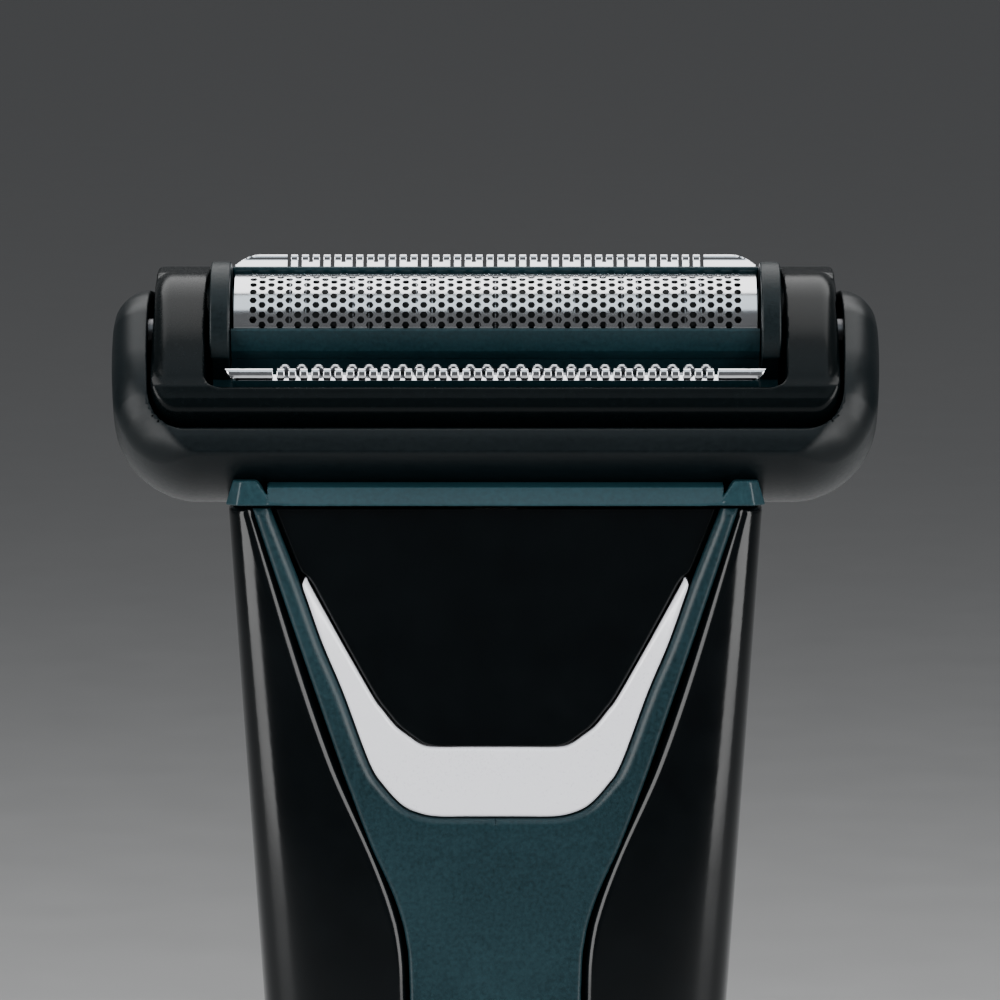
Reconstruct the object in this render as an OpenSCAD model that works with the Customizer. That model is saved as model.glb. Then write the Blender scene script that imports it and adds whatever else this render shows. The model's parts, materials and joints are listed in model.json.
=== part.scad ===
// Foil shaver with a wide tilting head on a tapering handle.
// Millimetres. Z up the handle, front towards -Y, origin at the centre of the base.

/* [Handle] */
// Height of the seam between handle and head
handle_top = 141.8; // [120:0.1:160]
// Wall thickness of the handle shells
wall_t = 1.7; // [1:0.1:3]
// Height of the base cap
base_h = 9; // [5:0.5:16]
// Width of the panel grooves
groove = 0.18; // [0.05:0.01:0.5]
// Depth of the recess behind the front panel
panel_recess = 1; // [0.2:0.1:2]
// Where the front parts meet the rear shell, from front to back
split_y = 3; // [-2:0.5:6]

/* [Button] */
// Height of the power button's centre
button_z = 88; // [60:1:105]
// Radius of the power button
button_r = 4.6; // [3:0.1:6]

/* [Head] */
// How far the shaving plane leans to the front, in degrees
head_lean = 35; // [0:1:60]
// Height of the foil's centre line
foil_z = 154.2; // [145:0.1:165]
// Front to back place of the foil's centre line
foil_y = -2; // [-6:0.1:6]
// Outer radius of the foil
foil_r = 4; // [3:0.05:6]
// Half length of the foil
foil_half = 19; // [12:0.1:24]
// Drop from the foil's centre line to the tilt axis
axis_drop = 0.6; // [0:0.1:3]
// Outer radius of the head cradle
cradle_r = 11.84; // [10:0.02:14]
// Inner radius of the head cradle
cradle_in = 10.3; // [9:0.1:13]
// Outer radius of the tilting frame
tilt_r = 9.35; // [8:0.05:12]
// Half length of the tilting frame
tilt_half = 24.9; // [20:0.1:28]
// Half length of the pocket in the tilting frame
pocket_half = 21.1; // [18:0.1:24]

/* [Combs] */
// Slot pitch of the rear comb
comb_pitch = 0.8; // [0.5:0.05:1.5]
// Slot pitch of the front comb
front_pitch = 0.84; // [0.5:0.02:1.5]
// Slot width of the combs
comb_slot = 0.26; // [0.1:0.02:0.6]
// Tooth pitch of the moving trimmer blades
blade_pitch = 1.22; // [0.8:0.02:2]
// Spacing of the inner cutter lamellae
lamella_pitch = 1.15; // [0.8:0.05:2]

/* [Drive] */
// Half stroke of the cutters
stroke = 1; // [0.5:0.1:1.5]
// Motor radius
motor_r = 7.5; // [5:0.1:9]
// Front to back place of the motor's axis
motor_y = 1; // [-3:0.5:3]

/* [Hidden] */
$fn = 64;
e = 0.01;
axis_y = foil_y + axis_drop * sin(head_lean);
axis_z = foil_z - axis_drop * cos(head_lean);
pin_r = 0.78;
slot_h = pin_r + 0.05;
foil_a = 51;
screw_z = [14.5, 133];

// Half width, front, rear and squareness (front half, rear half) of the handle section by height
half_w = [[0, 13.6], [0.5, 14.3], [1.6, 14.9], [4, 15.2], [15, 15.3], [30, 15], [45, 14.7], [60, 14.6],
    [75, 14.95], [90, 15.8], [106, 16.97], [116, 17.65], [126, 18.33], [134, 18.87], [141.8, 19.4]];
front_p = [[0, 10.2], [0.5, 10.9], [1.6, 11.4], [4, 11.7], [30, 12], [60, 12.3],
    [90, 12.6], [106, 12.3], [116, 12], [126, 11.5], [134, 11.1], [141.8, 10.6]];
rear_p = [[0, 9.7], [0.5, 10.4], [1.6, 10.9], [4, 11.2], [30, 11.6], [60, 11.9],
    [90, 12.5], [106, 12.6], [116, 12.5], [126, 12.2], [134, 11.9], [141.8, 11.5]];
square_front = [[0, 4.5], [30, 5], [60, 5.5], [90, 7], [106, 8], [126, 10], [141.8, 12]];
square_rear = [[0, 3], [60, 2.8], [106, 3], [141.8, 4.2]];
rows = [0, 0.5, 1.6, 4, 15, 30, 45, 60, 75, 90, 98, 106, 116, 126, 134, 141.8];
cols = 36;

// ---- handle form ----
function pw(v, p) = sign(v) * pow(abs(v), p);
function ring(z, off) = let(a = lookup(z, half_w) - off, yf = -lookup(z, front_p) + off,
    yr = lookup(z, rear_p) - off, b = (yr - yf) / 2, c = (yr + yf) / 2)
    [for (i = [0 : cols - 1]) let(t = 360 * (i + 0.5) / cols,
        p = 2 / lookup(z, sin(t) < 0 ? square_front : square_rear)) [a * pw(cos(t), p), c + b * pw(sin(t), p), z]];

// Solid body of the handle, drawn in by off, from the rows between z0 and z1
module form(off, z0 = 0, z1 = 141.8) {
    zs = concat([z0], [for (z = rows) if (z > z0 + 0.2 && z < z1 - 0.2) z], [z1]);
    n = len(zs);
    pts = [for (z = zs) each ring(z, off)];
    side = [for (r = [0 : n - 2], i = [0 : cols - 1]) let(a = r * cols + i, b = r * cols + (i + 1) % cols)
        each [[a, a + cols, b + cols], [a, b + cols, b]]];
    caps = [[for (i = [0 : cols - 1]) i], [for (i = [cols - 1 : -1 : 0]) (n - 1) * cols + i]];
    polyhedron(pts, concat(side, caps), convexity = 6);
}

// Hollow wall of the handle between two depths below its surface
module skin(t0, t1, z0 = 0, z1 = 141.8) {
    difference() {
        form(t0, z0, z1);
        form(t1, z0 - 0.3, z1 + 0.3);
    }
}

// Prism through the handle from an outline drawn in X and Z, between y0 and y1
module prism(pts, y0, y1) {
    translate([0, y1, 0]) rotate([90, 0, 0]) linear_extrude(y1 - y0) polygon(pts);
}

function flip(pts) = [for (i = [len(pts) - 1 : -1 : 0]) [-pts[i][0], pts[i][1]]];

// Left edges of the front parts, from the top down, in X and Z
panel_edge = [[-17.97, 141.8], [-11.95, 123.4], [-8.6, 115.9], [-7.5, 112.9], [-7, 111], [-6.7, 108.3],
    [-6.6, 100], [-6.5, 60], [-7, 30], [-7.6, base_h]];
frame_edge = [[-17.55, 141.8], [-11.36, 123.7], [-9.96, 119.9], [-8.88, 117.1], [-7.94, 115.1],
    [-7.27, 113.5], [-6.73, 111.8], [-6.47, 110.5], [-6.25, 108.3], [-6.15, 100], [-6.05, 60],
    [-6.55, 30], [-7.15, base_h]];
trim_out = [[-13.8, 136.8], [-14.06, 136.3], [-13.7, 135.1], [-12.55, 131.9], [-11.06, 128.4],
    [-9.15, 123.3], [-8.07, 121.6], [-6.73, 120.2], [-5.38, 119.6], [-4.04, 119.4]];
trim_in = [[-13.58, 136.7], [-12.25, 134.3], [-10.77, 131.6], [-8.83, 128.2], [-8.09, 127.2],
    [-7.2, 126.1], [-6.3, 125.4], [-5.42, 124.8], [-4.52, 124.6]];
rail_in = [[-16.3, 141.8], [-14.2, 136.6]];

module panel_zone(s) {
    pts = concat([[-24, base_h], [-24, 141.8]], panel_edge);
    prism(s < 0 ? pts : flip(pts), -20, split_y);
}

module frame_zone() {
    left = concat(rail_in, [for (i = [1 : len(trim_out) - 1]) trim_out[i]]);
    outer = concat([for (i = [len(frame_edge) - 1 : -1 : 0]) frame_edge[i]], left);
    prism(concat(outer, flip(outer)), -20, 0);
}

module trim_zone(g) {
    o = [for (p = trim_out) [p[0] + g, p[1] + g]];
    i = [for (k = [len(trim_in) - 1 : -1 : 0]) trim_in[k]];
    left = concat(i, o);
    prism(concat(left, flip(left)), -20, 0);
}

module front_zone(g) {
    left = concat([[-16.3 + g, 141.8], [-14.2 + g, 136.9]], [for (p = trim_in) [p[0] + g, p[1] + g]]);
    prism(concat(left, flip(left)), -20, 0);
}

module rods_x(x0, x1, r) {
    translate([x0, 0, 0]) rotate([0, 90, 0]) cylinder(h = x1 - x0, r = r);
}

module screw(r, h, head_r, head_h) {
    difference() {
        union() {
            cylinder(h = h, r = r);
            translate([0, 0, h - e]) cylinder(h = head_h, r = head_r);
        }
        for (a = [0, 90]) translate([0, 0, h + head_h]) rotate([0, 0, a])
            cube([head_r * 1.3, head_r * 0.3, head_h], center = true);
    }
}

// Round wire wound into a coil along Z
module coil(r, wire, h, turns, steps = 14, sides = 6) {
    n = turns * steps;
    pts = [for (i = [0 : n]) let(a = 360 * i / steps, z = wire + (h - 2 * wire) * i / n)
        for (k = [0 : sides - 1]) let(b = 360 * k / sides, q = r + wire * cos(b))
            [q * cos(a), q * sin(a), z + wire * sin(b)]];
    side = [for (i = [0 : n - 1], k = [0 : sides - 1])
        let(a = i * sides + k, b = i * sides + (k + 1) % sides)
        each [[a, b, b + sides], [a, b + sides, a + sides]]];
    ends = [[for (k = [sides - 1 : -1 : 0]) k], [for (k = [0 : sides - 1]) n * sides + k]];
    polyhedron(pts, concat(side, ends), convexity = 8);
}

// ---- head frames ----
// Leaning frame of the head: X along the foil, Y to the rear, Z out of the shaving plane
module leaning() {
    translate([0, foil_y, foil_z]) rotate([head_lean, 0, 0]) children();
}

// The same frame moved to the tilt axis
module at_axis() {
    leaning() translate([0, 0, -axis_drop]) children();
}

// Section drawn in the leaning frame's Y and Z, drawn out along X
module along(x0, x1) {
    translate([x0, 0, 0]) rotate([90, 0, 90]) linear_extrude(x1 - x0) children();
}

// Profile of radius and X, turned round the X axis
module turned(pts) {
    rotate([0, 90, 0]) rotate_extrude() polygon(pts);
}

function arc(r, a0, a1, n, c = [0, 0]) =
    [for (i = [0 : n]) let(a = a0 + (a1 - a0) * i / n) [c[0] + r * cos(a), c[1] + r * sin(a)]];

// ---- handle shells ----
module rear_shell() color("#141c1e") {
    difference() {
        intersection() {
            skin(0, wall_t, base_h + groove, 141.8);
            translate([-30, split_y + groove, 0]) cube([60, 30, 150]);
        }
        intersection() {
            skin(-1, 0.72, 18, 112);
            translate([-8.6, 4, 19]) cube([17.2, 20, 92]);
        }
        for (z = screw_z) translate([0, lookup(z, rear_p), z]) {
            rotate([90, 0, 0]) cylinder(h = 4, r = 1.15);
            translate([0, 1, 0]) rotate([90, 0, 0]) cylinder(h = 2, r = 2.1);
        }
    }
}

module rear_grip() color("#1a2224") {
    intersection() {
        difference() {
            skin(-0.35, 0.7, 19.4, 110.6);
            intersection() {
                skin(-1, 0, 20, 110);
                for (z = [26 : 6 : 104]) translate([-6.5, 8, z - 1.1]) cube([13, 8, 2.2]);
            }
        }
        translate([-8.4, 4, 19.4]) cube([16.8, 20, 91.2]);
    }
}

module side_panel_left() color("#070a0b") {
    intersection() {
        skin(0, wall_t, base_h + groove, 141.8);
        panel_zone(-1);
    }
}

module side_panel_right() color("#070a0b") {
    intersection() {
        skin(0, wall_t, base_h + groove, 141.8);
        panel_zone(1);
    }
}

module front_frame() color("#10262a") {
    difference() {
        intersection() {
            skin(-0.02, wall_t + 0.3, base_h + groove, 141.8);
            frame_zone();
        }
        translate([0, 0, button_z]) rotate([90, 0, 0]) cylinder(h = 30, r = button_r + 0.15);
        translate([0, 0, button_z - 15]) rotate([90, 0, 0]) cylinder(h = 30, r = 0.95);
    }
}

module front_panel() color("#060809") {
    intersection() {
        skin(panel_recess, panel_recess + 1.4, 118, 141.8);
        front_zone(groove);
    }
}

module accent_trim() color("#d8d8e2") {
    intersection() {
        skin(0.35, panel_recess + 1.4, 118, 140);
        trim_zone(groove);
    }
}

module base_cap() color("#141c1e") {
    difference() {
        union() {
            skin(0, wall_t, 0, base_h);
            form(1.4, 0, 2.6);
            for (s = [-1, 1]) translate([s * 9, 0, 2.4]) cylinder(h = 6.6, r = 2.4);
        }
        translate([0, 0, -1]) cylinder(h = 3, r = 5);
        for (s = [-1, 1]) translate([s * 2.4, 0, 1]) cylinder(h = 3, r = 1.1);
        for (s = [-1, 1]) translate([s * 9, 0, 4]) cylinder(h = 6, r = 0.9);
    }
}

module base_seal() color("#202426") {
    skin(wall_t + 0.03, wall_t + 1.15, base_h - 0.6, base_h + 0.1);
    skin(wall_t + 0.36, wall_t + 1.15, base_h + 0.1 - e, base_h + 1);
}

module charging_contacts() color("#c9a24a") {
    for (s = [-1, 1]) translate([s * 2.4, 0, 2]) {
        cylinder(h = 3.6, r = 1.1);
        translate([0, 0, 1.6]) cylinder(h = 0.6, r = 1.7);
    }
}

module status_light() color("#b9d8e8") {
    translate([0, -7.92, button_z - 15]) rotate([90, 0, 0]) {
        cylinder(h = 4.4, r = 0.85);
        cylinder(h = 1.2, r = 1.6);
    }
}

// ---- inside the handle ----
module chassis() color("#3a3f42") {
    difference() {
        union() {
            intersection() {
                form(wall_t + 0.9, 112, 121);
                translate([-20, -8.4, 117.2]) cube([40, 18, 2]);
            }
            for (s = [-1, 1]) translate([s * 13.2 - 0.9, -5.5, 119]) cube([1.8, 13, 19]);
            for (s = [-1, 1]) translate([s * 8.8 - 0.8, -6.88, 20]) cube([1.6, 9.5, 97.4]);
            translate([-9.6, -3, 74.2]) cube([19.2, 10, 1.6]);
            translate([-9.6, -3, 18.6]) cube([19.2, 10, 1.6]);
            translate([-3, 3, 12.2]) cube([6, 6.4, 6.5]);
            translate([-14, 4.5, 131]) cube([28, 3, 4]);
            translate([-3, 7, 131]) cube([6, 3.1, 4]);
        }
        translate([0, motor_y, 110]) cylinder(h = 12, r = 2.4);
        for (s = [-1, 1]) translate([s * 4.6, motor_y, 110]) cylinder(h = 12, r = 0.8);
        for (y = [-4, 6]) translate([0, y, 127]) rods_x(-18, 18, 1);
        for (z = screw_z) translate([0, lookup(z, rear_p) - 6.2, z]) rotate([-90, 0, 0]) cylinder(h = 6, r = 1.1);
        translate([0, -1, 95]) cube([2 * motor_r + 2, 3, 1], center = true);
    }
}

module top_plate() color("#1b2224") {
    difference() {
        union() {
            intersection() {
                form(wall_t + 0.12, 138.2, 141.4);
                translate([-30, 0.2, 137]) cube([60, 30, 6]);
            }
            intersection() {
                form(wall_t + 0.82, 138.2, 141.4);
                translate([-30, -7, 137]) cube([60, 8, 6]);
            }
        }
        translate([0, axis_y, 137]) cylinder(h = 6, r = 4.2);
    }
}

module drive_boot() color("#26292b") {
    translate([0, axis_y, 137.6]) difference() {
        union() {
            cylinder(h = 4, r = 4.15);
            translate([0, 0, 3.8]) cylinder(h = 0.6, r = 5);
            cylinder(h = 0.6, r = 5);
        }
        translate([0, 0, -1]) cylinder(h = 7, r = 3);
        for (z = [1.3, 2.7]) translate([0, 0, z]) rotate_extrude() translate([3, 0]) circle(r = 0.5);
    }
}

module snap_latches() color("#2b3032") {
    for (s = [-1, 1]) translate([s * 11, 8.6, 141.4]) {
        translate([-2, -0.6, 0]) cube([4, 1.2, 4]);
        translate([-2, -0.6, 2.6]) rotate([0, 90, 0]) cylinder(h = 4, r = 0.45);
    }
}

module motor_can() color("#b8bcc0") {
    translate([0, motor_y, 0]) difference() {
        union() {
            translate([0, 0, 92]) cylinder(h = 25.19, r = motor_r);
            translate([0, 0, 117]) cylinder(h = 1.8, r = 2.2);
            translate([0, 0, 90]) cylinder(h = 2.1, r = motor_r - 0.8);
        }
        translate([0, 0, 89]) cylinder(h = 30, r = 0.85);
        for (s = [-1, 1]) translate([s * 4.6, 0, 114]) cylinder(h = 5, r = 0.75);
        for (a = [0 : 60 : 300]) rotate([0, 0, a]) translate([motor_r, 0, 96]) cube([0.5, 1.6, 5], center = true);
    }
}

module motor_screws() color("#9a9ea2") {
    for (s = [-1, 1]) translate([s * 4.6, motor_y, 114.4]) screw(0.74, 4.9, 1.4, 0.8);
}

module battery() color("#3f7f8f") {
    translate([0, 1.8, 22]) difference() {
        cylinder(h = 50, r = 7);
        for (z = [3, 47]) translate([0, 0, z]) rotate_extrude() translate([7, 0]) circle(r = 0.35);
    }
}

module battery_tabs() color("#c8ccd0") {
    translate([0, 1.8, 72.1]) cylinder(h = 0.4, r = 3);
    translate([-1.5, -6.88, 72.2]) cube([3, 8.6, 0.3]);
    translate([0, 1.8, 21.5]) cylinder(h = 0.4, r = 4);
    translate([-1.5, -6.88, 21.6]) cube([3, 8.6, 0.3]);
}

module circuit_board() color("#2f6b3a") {
    difference() {
        union() {
            translate([-9.4, -7.9, 20.5]) cube([18.8, 1, 88]);
            translate([-3.5, -6.95, 55]) cube([7, 1.2, 7]);
            for (z = [32, 37, 80]) translate([-2, -6.95, z]) cube([4, 0.9, 3]);
            for (z = [44, 48, 104]) translate([-4.5, -6.95, z]) cube([1.8, 0.7, 1]);
            translate([2.4, -6.95, 44]) cube([2.2, 1.4, 4]);
        }
        for (s = [-1, 1], z = [24, 105]) translate([s * 6.6, -5, z]) rotate([90, 0, 0]) cylinder(h = 6, r = 0.9);
    }
}

module tact_switch() color("#4a4f52") {
    difference() {
        translate([-2.6, -9.2, button_z - 2.6]) cube([5.2, 1.3, 5.2]);
        translate([0, -5, button_z]) rotate([90, 0, 0]) cylinder(h = 8, r = 1.4);
    }
}

module guide_rods() color("#c4c8cc") {
    for (y = [-4, 6]) translate([0, y, 127]) rods_x(-14, 14, 1);
}

module shell_screws() color("#8d9195") {
    for (z = screw_z) translate([0, lookup(z, rear_p) - 6, z]) rotate([-90, 0, 0]) screw(1.08, 5.01, 1.9, 0.75);
}

// ---- button ----
module power_button() color("#1c3a40") {
    difference() {
        union() {
            translate([0, -9.7, button_z]) rotate([90, 0, 0]) cylinder(h = 3.1, r = button_r);
            translate([0, -12.7, button_z]) rotate([90, 0, 0]) cylinder(h = 0.3, r1 = button_r, r2 = button_r - 0.4);
            translate([0, -9.7, button_z]) rotate([90, 0, 0]) cylinder(h = 0.45, r = button_r + 0.9);
        }
        translate([0, -32.2, button_z]) sphere(r = 19.6, $fn = 96);
        translate([0, -9, button_z]) rotate([90, 0, 0]) cylinder(h = 2, r = button_r - 0.7);
    }
}

module switch_plunger() color("#e4e0d4") {
    translate([0, -8.8, button_z]) rotate([90, 0, 0]) cylinder(h = 2.2, r = 1.32);
}

// ---- motor ----
module motor_shaft() color("#d0d4d8") {
    translate([0, motor_y, 91]) cylinder(h = 31, r = 0.78);
}

module eccentric() color("#d9d5c8") {
    translate([0, motor_y, 0]) difference() {
        union() {
            translate([0, 0, 120.5]) cylinder(h = 2.6, r = 3);
            translate([stroke, 0, 123]) cylinder(h = 2.7, r = 0.7);
            translate([-4.4, -1.2, 120.5]) cube([2.4, 2.4, 2.6]);
        }
        translate([0, 0, 119]) cylinder(h = 3, r = 0.78);
    }
}

// ---- drive ----
module drive_lever() color("#e2e0d6") {
    difference() {
        union() {
            translate([-9, -6.2, 123.9]) cube([18, 14.4, 2]);
            for (y = [-4, 6]) translate([0, y, 127]) rods_x(-9, 9, 2.2);
            translate([-4.6, -5.2, 126.2]) cube([9.2, 12.4, 2]);
            translate([-4.6, -5.2, 125.8]) difference() {
                cube([9.2, 12.4, 0.6]);
                translate([1.2, 2.2, -1]) cube([6.8, 8, 3]);
            }
            translate([0, axis_y, 128.1]) cylinder(h = 3, r1 = 3, r2 = 1.6);
            translate([0, axis_y, 128]) cylinder(h = 15.8, r = 1.6);
        }
        for (y = [-4, 6]) translate([0, y, 127]) rods_x(-10, 10, 1.05);
        translate([0, motor_y, 123]) cylinder(h = 3.1, r = 2.9);
        translate([0, axis_y, 139]) cylinder(h = 8, r = pin_r + 0.005);
    }
}

module drive_pin() color("#c8ccd0") {
    translate([0, axis_y, 139]) cylinder(h = axis_z - 139 - 0.5, r = pin_r);
    translate([0, axis_y, axis_z - 0.5]) sphere(r = pin_r - 0.01);
}

// ---- head ----
cradle_drop = 0.4;
rim = [[-16, -3], [-12.5, -1.4], [-11, -0.4], [-10.25, 0], [-9.2, 0.7], [-8, 1.35], [-4, 2.15], [0, 2.2], [2.5, 1.6], [4.5, 0.5], [6.5, -1.2],
    [8.5, -2.9], [10.55, -4.83], [16, -10], [16, -16], [-16, -16]];

module head_cradle() color("#0c1517") {
    difference() {
        intersection() {
            translate([0, axis_y, axis_z - cradle_drop]) turned([[0, -28.04], [1.9, -27.96], [4.1, -27.57], [5.4, -27.4],
                [6.8, -27.08], [8.28, -26.6], [9.34, -26], [10.42, -25], [11.2, -23.67], [11.6, -22.3], [cradle_r, -19.6],
                [cradle_r, 19.6], [11.6, 22.3], [11.2, 23.67], [10.42, 25], [9.34, 26], [8.28, 26.6], [6.8, 27.08],
                [5.4, 27.4], [4.1, 27.57], [1.9, 27.96], [0, 28.04]]);
            at_axis() along(-30, 30) polygon(rim);
        }
        at_axis() turned([[0, -25.4], [7, -25.4], [8.4, -25.1], [9.6, -24.3], [cradle_in, -22.6],
            [cradle_in, 22.6], [9.6, 24.3], [8.4, 25.1], [7, 25.4], [0, 25.4]]);
        translate([-4.4, axis_y - 3.2, 138]) cube([8.8, 6.4, 8]);
        translate([-19.62, -14, 138]) cube([39.24, 28, 4.62]);
        at_axis() rods_x(-27.2, 27.2, 1.2);
    }
}

module pivot_pins() color("#c8ccd0") {
    at_axis() for (s = [-1, 1]) rods_x(s < 0 ? -27.1 : 21.7, s < 0 ? -21.7 : 27.1, 1.19);
}

module tilt_spring() color("#a8acb0") {
    at_axis() translate([23.15, 0, 0]) rotate([0, 90, 0]) coil(1.9, 0.25, 1.9, 2, 16);
}

// Hipped block at the front corners of the collar, as points of its foot and its top
ear_foot = [[-19.3, -7.6, 142.04], [-18.7, -9.9, 142.04], [-17.9, -10.42, 142.04], [-16.1, -10.42, 142.04], [-16.1, 2, 142.04],
    [-19.3, 2, 142.04]];
ear_top = [[-19, -7.6, 143.8], [-18.75, -9.5, 143.8], [-18.4, -9.8, 143.8], [-17.4, -9.8, 143.8], [-17.3, 2, 143.8],
    [-19, 2, 143.8]];

module ear(s) {
    mirror([s < 0 ? 0 : 1, 0, 0]) polyhedron(concat(ear_foot, ear_top), concat([for (i = [0 : 5]) each
        [[i, i + 6, (i + 1) % 6 + 6], [i, (i + 1) % 6 + 6, (i + 1) % 6]]], [[0, 1, 2, 3, 4, 5], [11, 10, 9, 8, 7, 6]]));
}

module head_collar() color("#0d1618") {
    difference() {
        union() {
            difference() {
                union() {
                    intersection() {
                        along(-16.5, 16.5) polygon([[-10.45, 142.04], [-9.6, 143.35], [-7, 143.9], [6, 146.4],
                            [9.9, 148.4], [11, 147.4], [11.3, 142.04]]);
                        translate([0, 0, 142]) linear_extrude(8) polygon([for (p = ring(141.8, 0.05)) [p[0], p[1]]]);
                    }
                    for (s = [-1, 1]) ear(s);
                }
                translate([0, axis_y, axis_z - cradle_drop]) rods_x(-40, 40, cradle_r + 0.03);
            }
            translate([0, 0, 142]) linear_extrude(0.59) polygon([for (p = ring(141.8, 0.1)) [p[0], p[1]]]);
        }
        translate([0, axis_y, 140]) cylinder(h = 8, r = 5.3);
        for (s = [-1, 1]) translate([s * 11 - 2.15, 7.35, 141]) cube([4.3, 2, 4.8]);
    }
}

// ---- tilting frame ----
module tilt_frame() color("#06090a") {
    difference() {
        union() {
            intersection() {
                at_axis() turned([[0, -tilt_half], [6, -24.85], [7.4, -24.6], [8.3, -24.1], [8.9, -23.3], [9.2, -22.4],
                    [tilt_r, -21], [tilt_r, 21], [9.2, 22.4], [8.9, 23.3], [8.3, 24.1], [7.4, 24.6], [6, 24.85], [0, tilt_half]]);
                leaning() along(-30, 30) polygon([[-12, -2], [-9.3, 0.2], [-8.7, 0.7], [-7.9, 1.17],
                    [-6, 1.2], [5.4, 0.9], [6, 0.5], [7.9, -0.6], [8.8, -1.3], [9.35, -2.3], [12, -6], [12, -12], [-12, -12]]);
            }
            leaning() for (s = [-1, 1]) along(s < 0 ? -24.3 : pocket_half, s < 0 ? -pocket_half : 24.3)
                polygon([for (a = [0 : 7.5 : 180]) [6 * cos(a), -axis_drop + 3.4 * sin(a)]]);
        }
        intersection() {
            leaning() translate([-pocket_half, -7.9, -12]) cube([2 * pocket_half, 15.8, 18]);
            at_axis() union() {
                rods_x(-pocket_half, pocket_half, 8.6);
                translate([-30, -20, 0]) cube([60, 40, 20]);
            }
        }
        at_axis() rods_x(-tilt_half - 1, tilt_half + 1, 1.25);
        at_axis() rods_x(23.1, tilt_half + 1, 2.5);
        at_axis() along(-3.4, 3.4) polygon([[-0.5, -4], [-1.8, -11], [-9.6, -5.6], [-3.5, -2]]);
    }
    difference() {
        at_axis() for (s = [-1, 1]) translate([s * 14, 0, -9.3]) cylinder(h = 2.4, r = 1.9);
        at_axis() for (s = [-1, 1]) translate([s * 14, 0, -7.5]) cylinder(h = 1, r = 1.1);
    }
}

module float_springs() color("#b4b8bc") {
    at_axis() for (s = [-1, 1]) translate([s * 14, 0, -6.88]) coil(1.55, 0.22, 3.2, 4);
}

// ---- cassette ----
module cassette_frame() color("#0e2226") {
    leaning() difference() {
        union() {
            translate([-20.6, -7.2, -3.2]) cube([41.2, 14.4, 1.2]);
            along(-19.2, 19.2) polygon([[-3.14, -2.1], [-3.14, 2.5], [-3.2, 2.64], [-3.32, 2.7], [-3.45, 2.62],
                [-3.77, 1.02], [-3.75, 0.85], [-3.55, 0.1], [-3.45, 0], [-3.45, -2.1]]);
            along(-19.2, 19.2) polygon([[3.14, -2.1], [3.14, 2.96], [3.24, 3.1], [3.38, 3.1], [3.48, 2.98],
                [3.75, 1.02], [3.6, 0.3], [3.6, -2.1]]);
            translate([-19, -6.92, -2.1]) cube([38, 0.42, 2.9]);
            for (s = [-1, 1]) translate([s * 14, 0, -5.4]) cylinder(h = 2.3, r = 2.7);
            for (s = [-1, 1]) translate([s * 12 - 1.6, -3.3, -3.2]) cube([3.2, 6.6, 1.2]);
        }
        difference() {
            translate([-17.9, -2.75, -4]) cube([35.8, 5.5, 3]);
            for (s = [-1, 1]) translate([s * 13.4 - 3.4, -3.3, -5]) cube([6.8, 6.6, 5]);
        }
        translate([-3.9, -2.75, -4]) cube([7.8, 5.5, 3]);
        translate([-3.2, -5.4, -4]) cube([6.4, 4, 3.1]);
        for (s = [-1, 1]) translate([s * 14, 0, -6]) cylinder(h = 3.4, r = 2.05);
        for (s = [-1, 1]) translate([s * 8 - 2.3, s > 0 ? -6.5 : 4.8, -4]) cube([4.6, 1, 3]);
        for (s = [-1, 1], t = [-1, 1]) translate([s * 17, t * 5.2, -4]) cylinder(h = 3, r = 0.55);
    }
}

module foil() color("#d8dcde") {
    leaning() along(-foil_half, foil_half) difference() {
        union() {
            intersection() {
                circle(r = foil_r, $fn = 128);
                polygon([[0, 0], [-6 * sin(foil_a), 6 * cos(foil_a)], [-6, 6], [6, 6], [6 * sin(foil_a), 6 * cos(foil_a)]]);
            }
            translate([-foil_r * sin(foil_a), -1.2]) square([2 * foil_r * sin(foil_a), 1.2 + foil_r * cos(foil_a)]);
        }
        intersection() {
            circle(r = foil_r - 0.12, $fn = 128);
            translate([-2.95, -0.1]) square([5.9, 5]);
        }
        translate([-2.95, -2]) square([5.9, 2.5]);
    }
}

module foil_cap(s) {
    leaning() difference() {
        along(s < 0 ? -20.75 : 19.3, s < 0 ? -19.3 : 20.75) union() {
            intersection() {
                circle(r = 4.9, $fn = 96);
                translate([-6, 0.95]) square([12, 6]);
            }
            translate([-3.5, -1.98]) square([7, 3.2]);
        }
        along(s < 0 ? -20 : 18, s < 0 ? -18 : 20) circle(r = 3);
    }
}

module foil_cap_left() color("#101a1c") foil_cap(-1);

module foil_cap_right() color("#101a1c") foil_cap(1);

module front_comb() color("#cfd3d6") {
    leaning() difference() {
        along(-19.55, 19.55) polygon([[-6.42, 1.54], [-6.48, 1.6], [-6.6, 1.6], [-6.76, 1.48], [-7.02, 1.18],
            [-7.06, 1.06], [-7, 0.82], [-6.5, 0.82], [-6.5, 1.1], [-6.42, 1.3]]);
        for (s = [-1, 1]) translate([s * 19.75, -6.8, 0.72]) rotate([0, s * 45, 0]) cube([1.5, 2, 1], center = true);
        for (i = [-19 : 19]) translate([i * front_pitch - comb_slot / 2, -7.4, 0.96]) cube([comb_slot, 1.4, 2]);
    }
}

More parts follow.
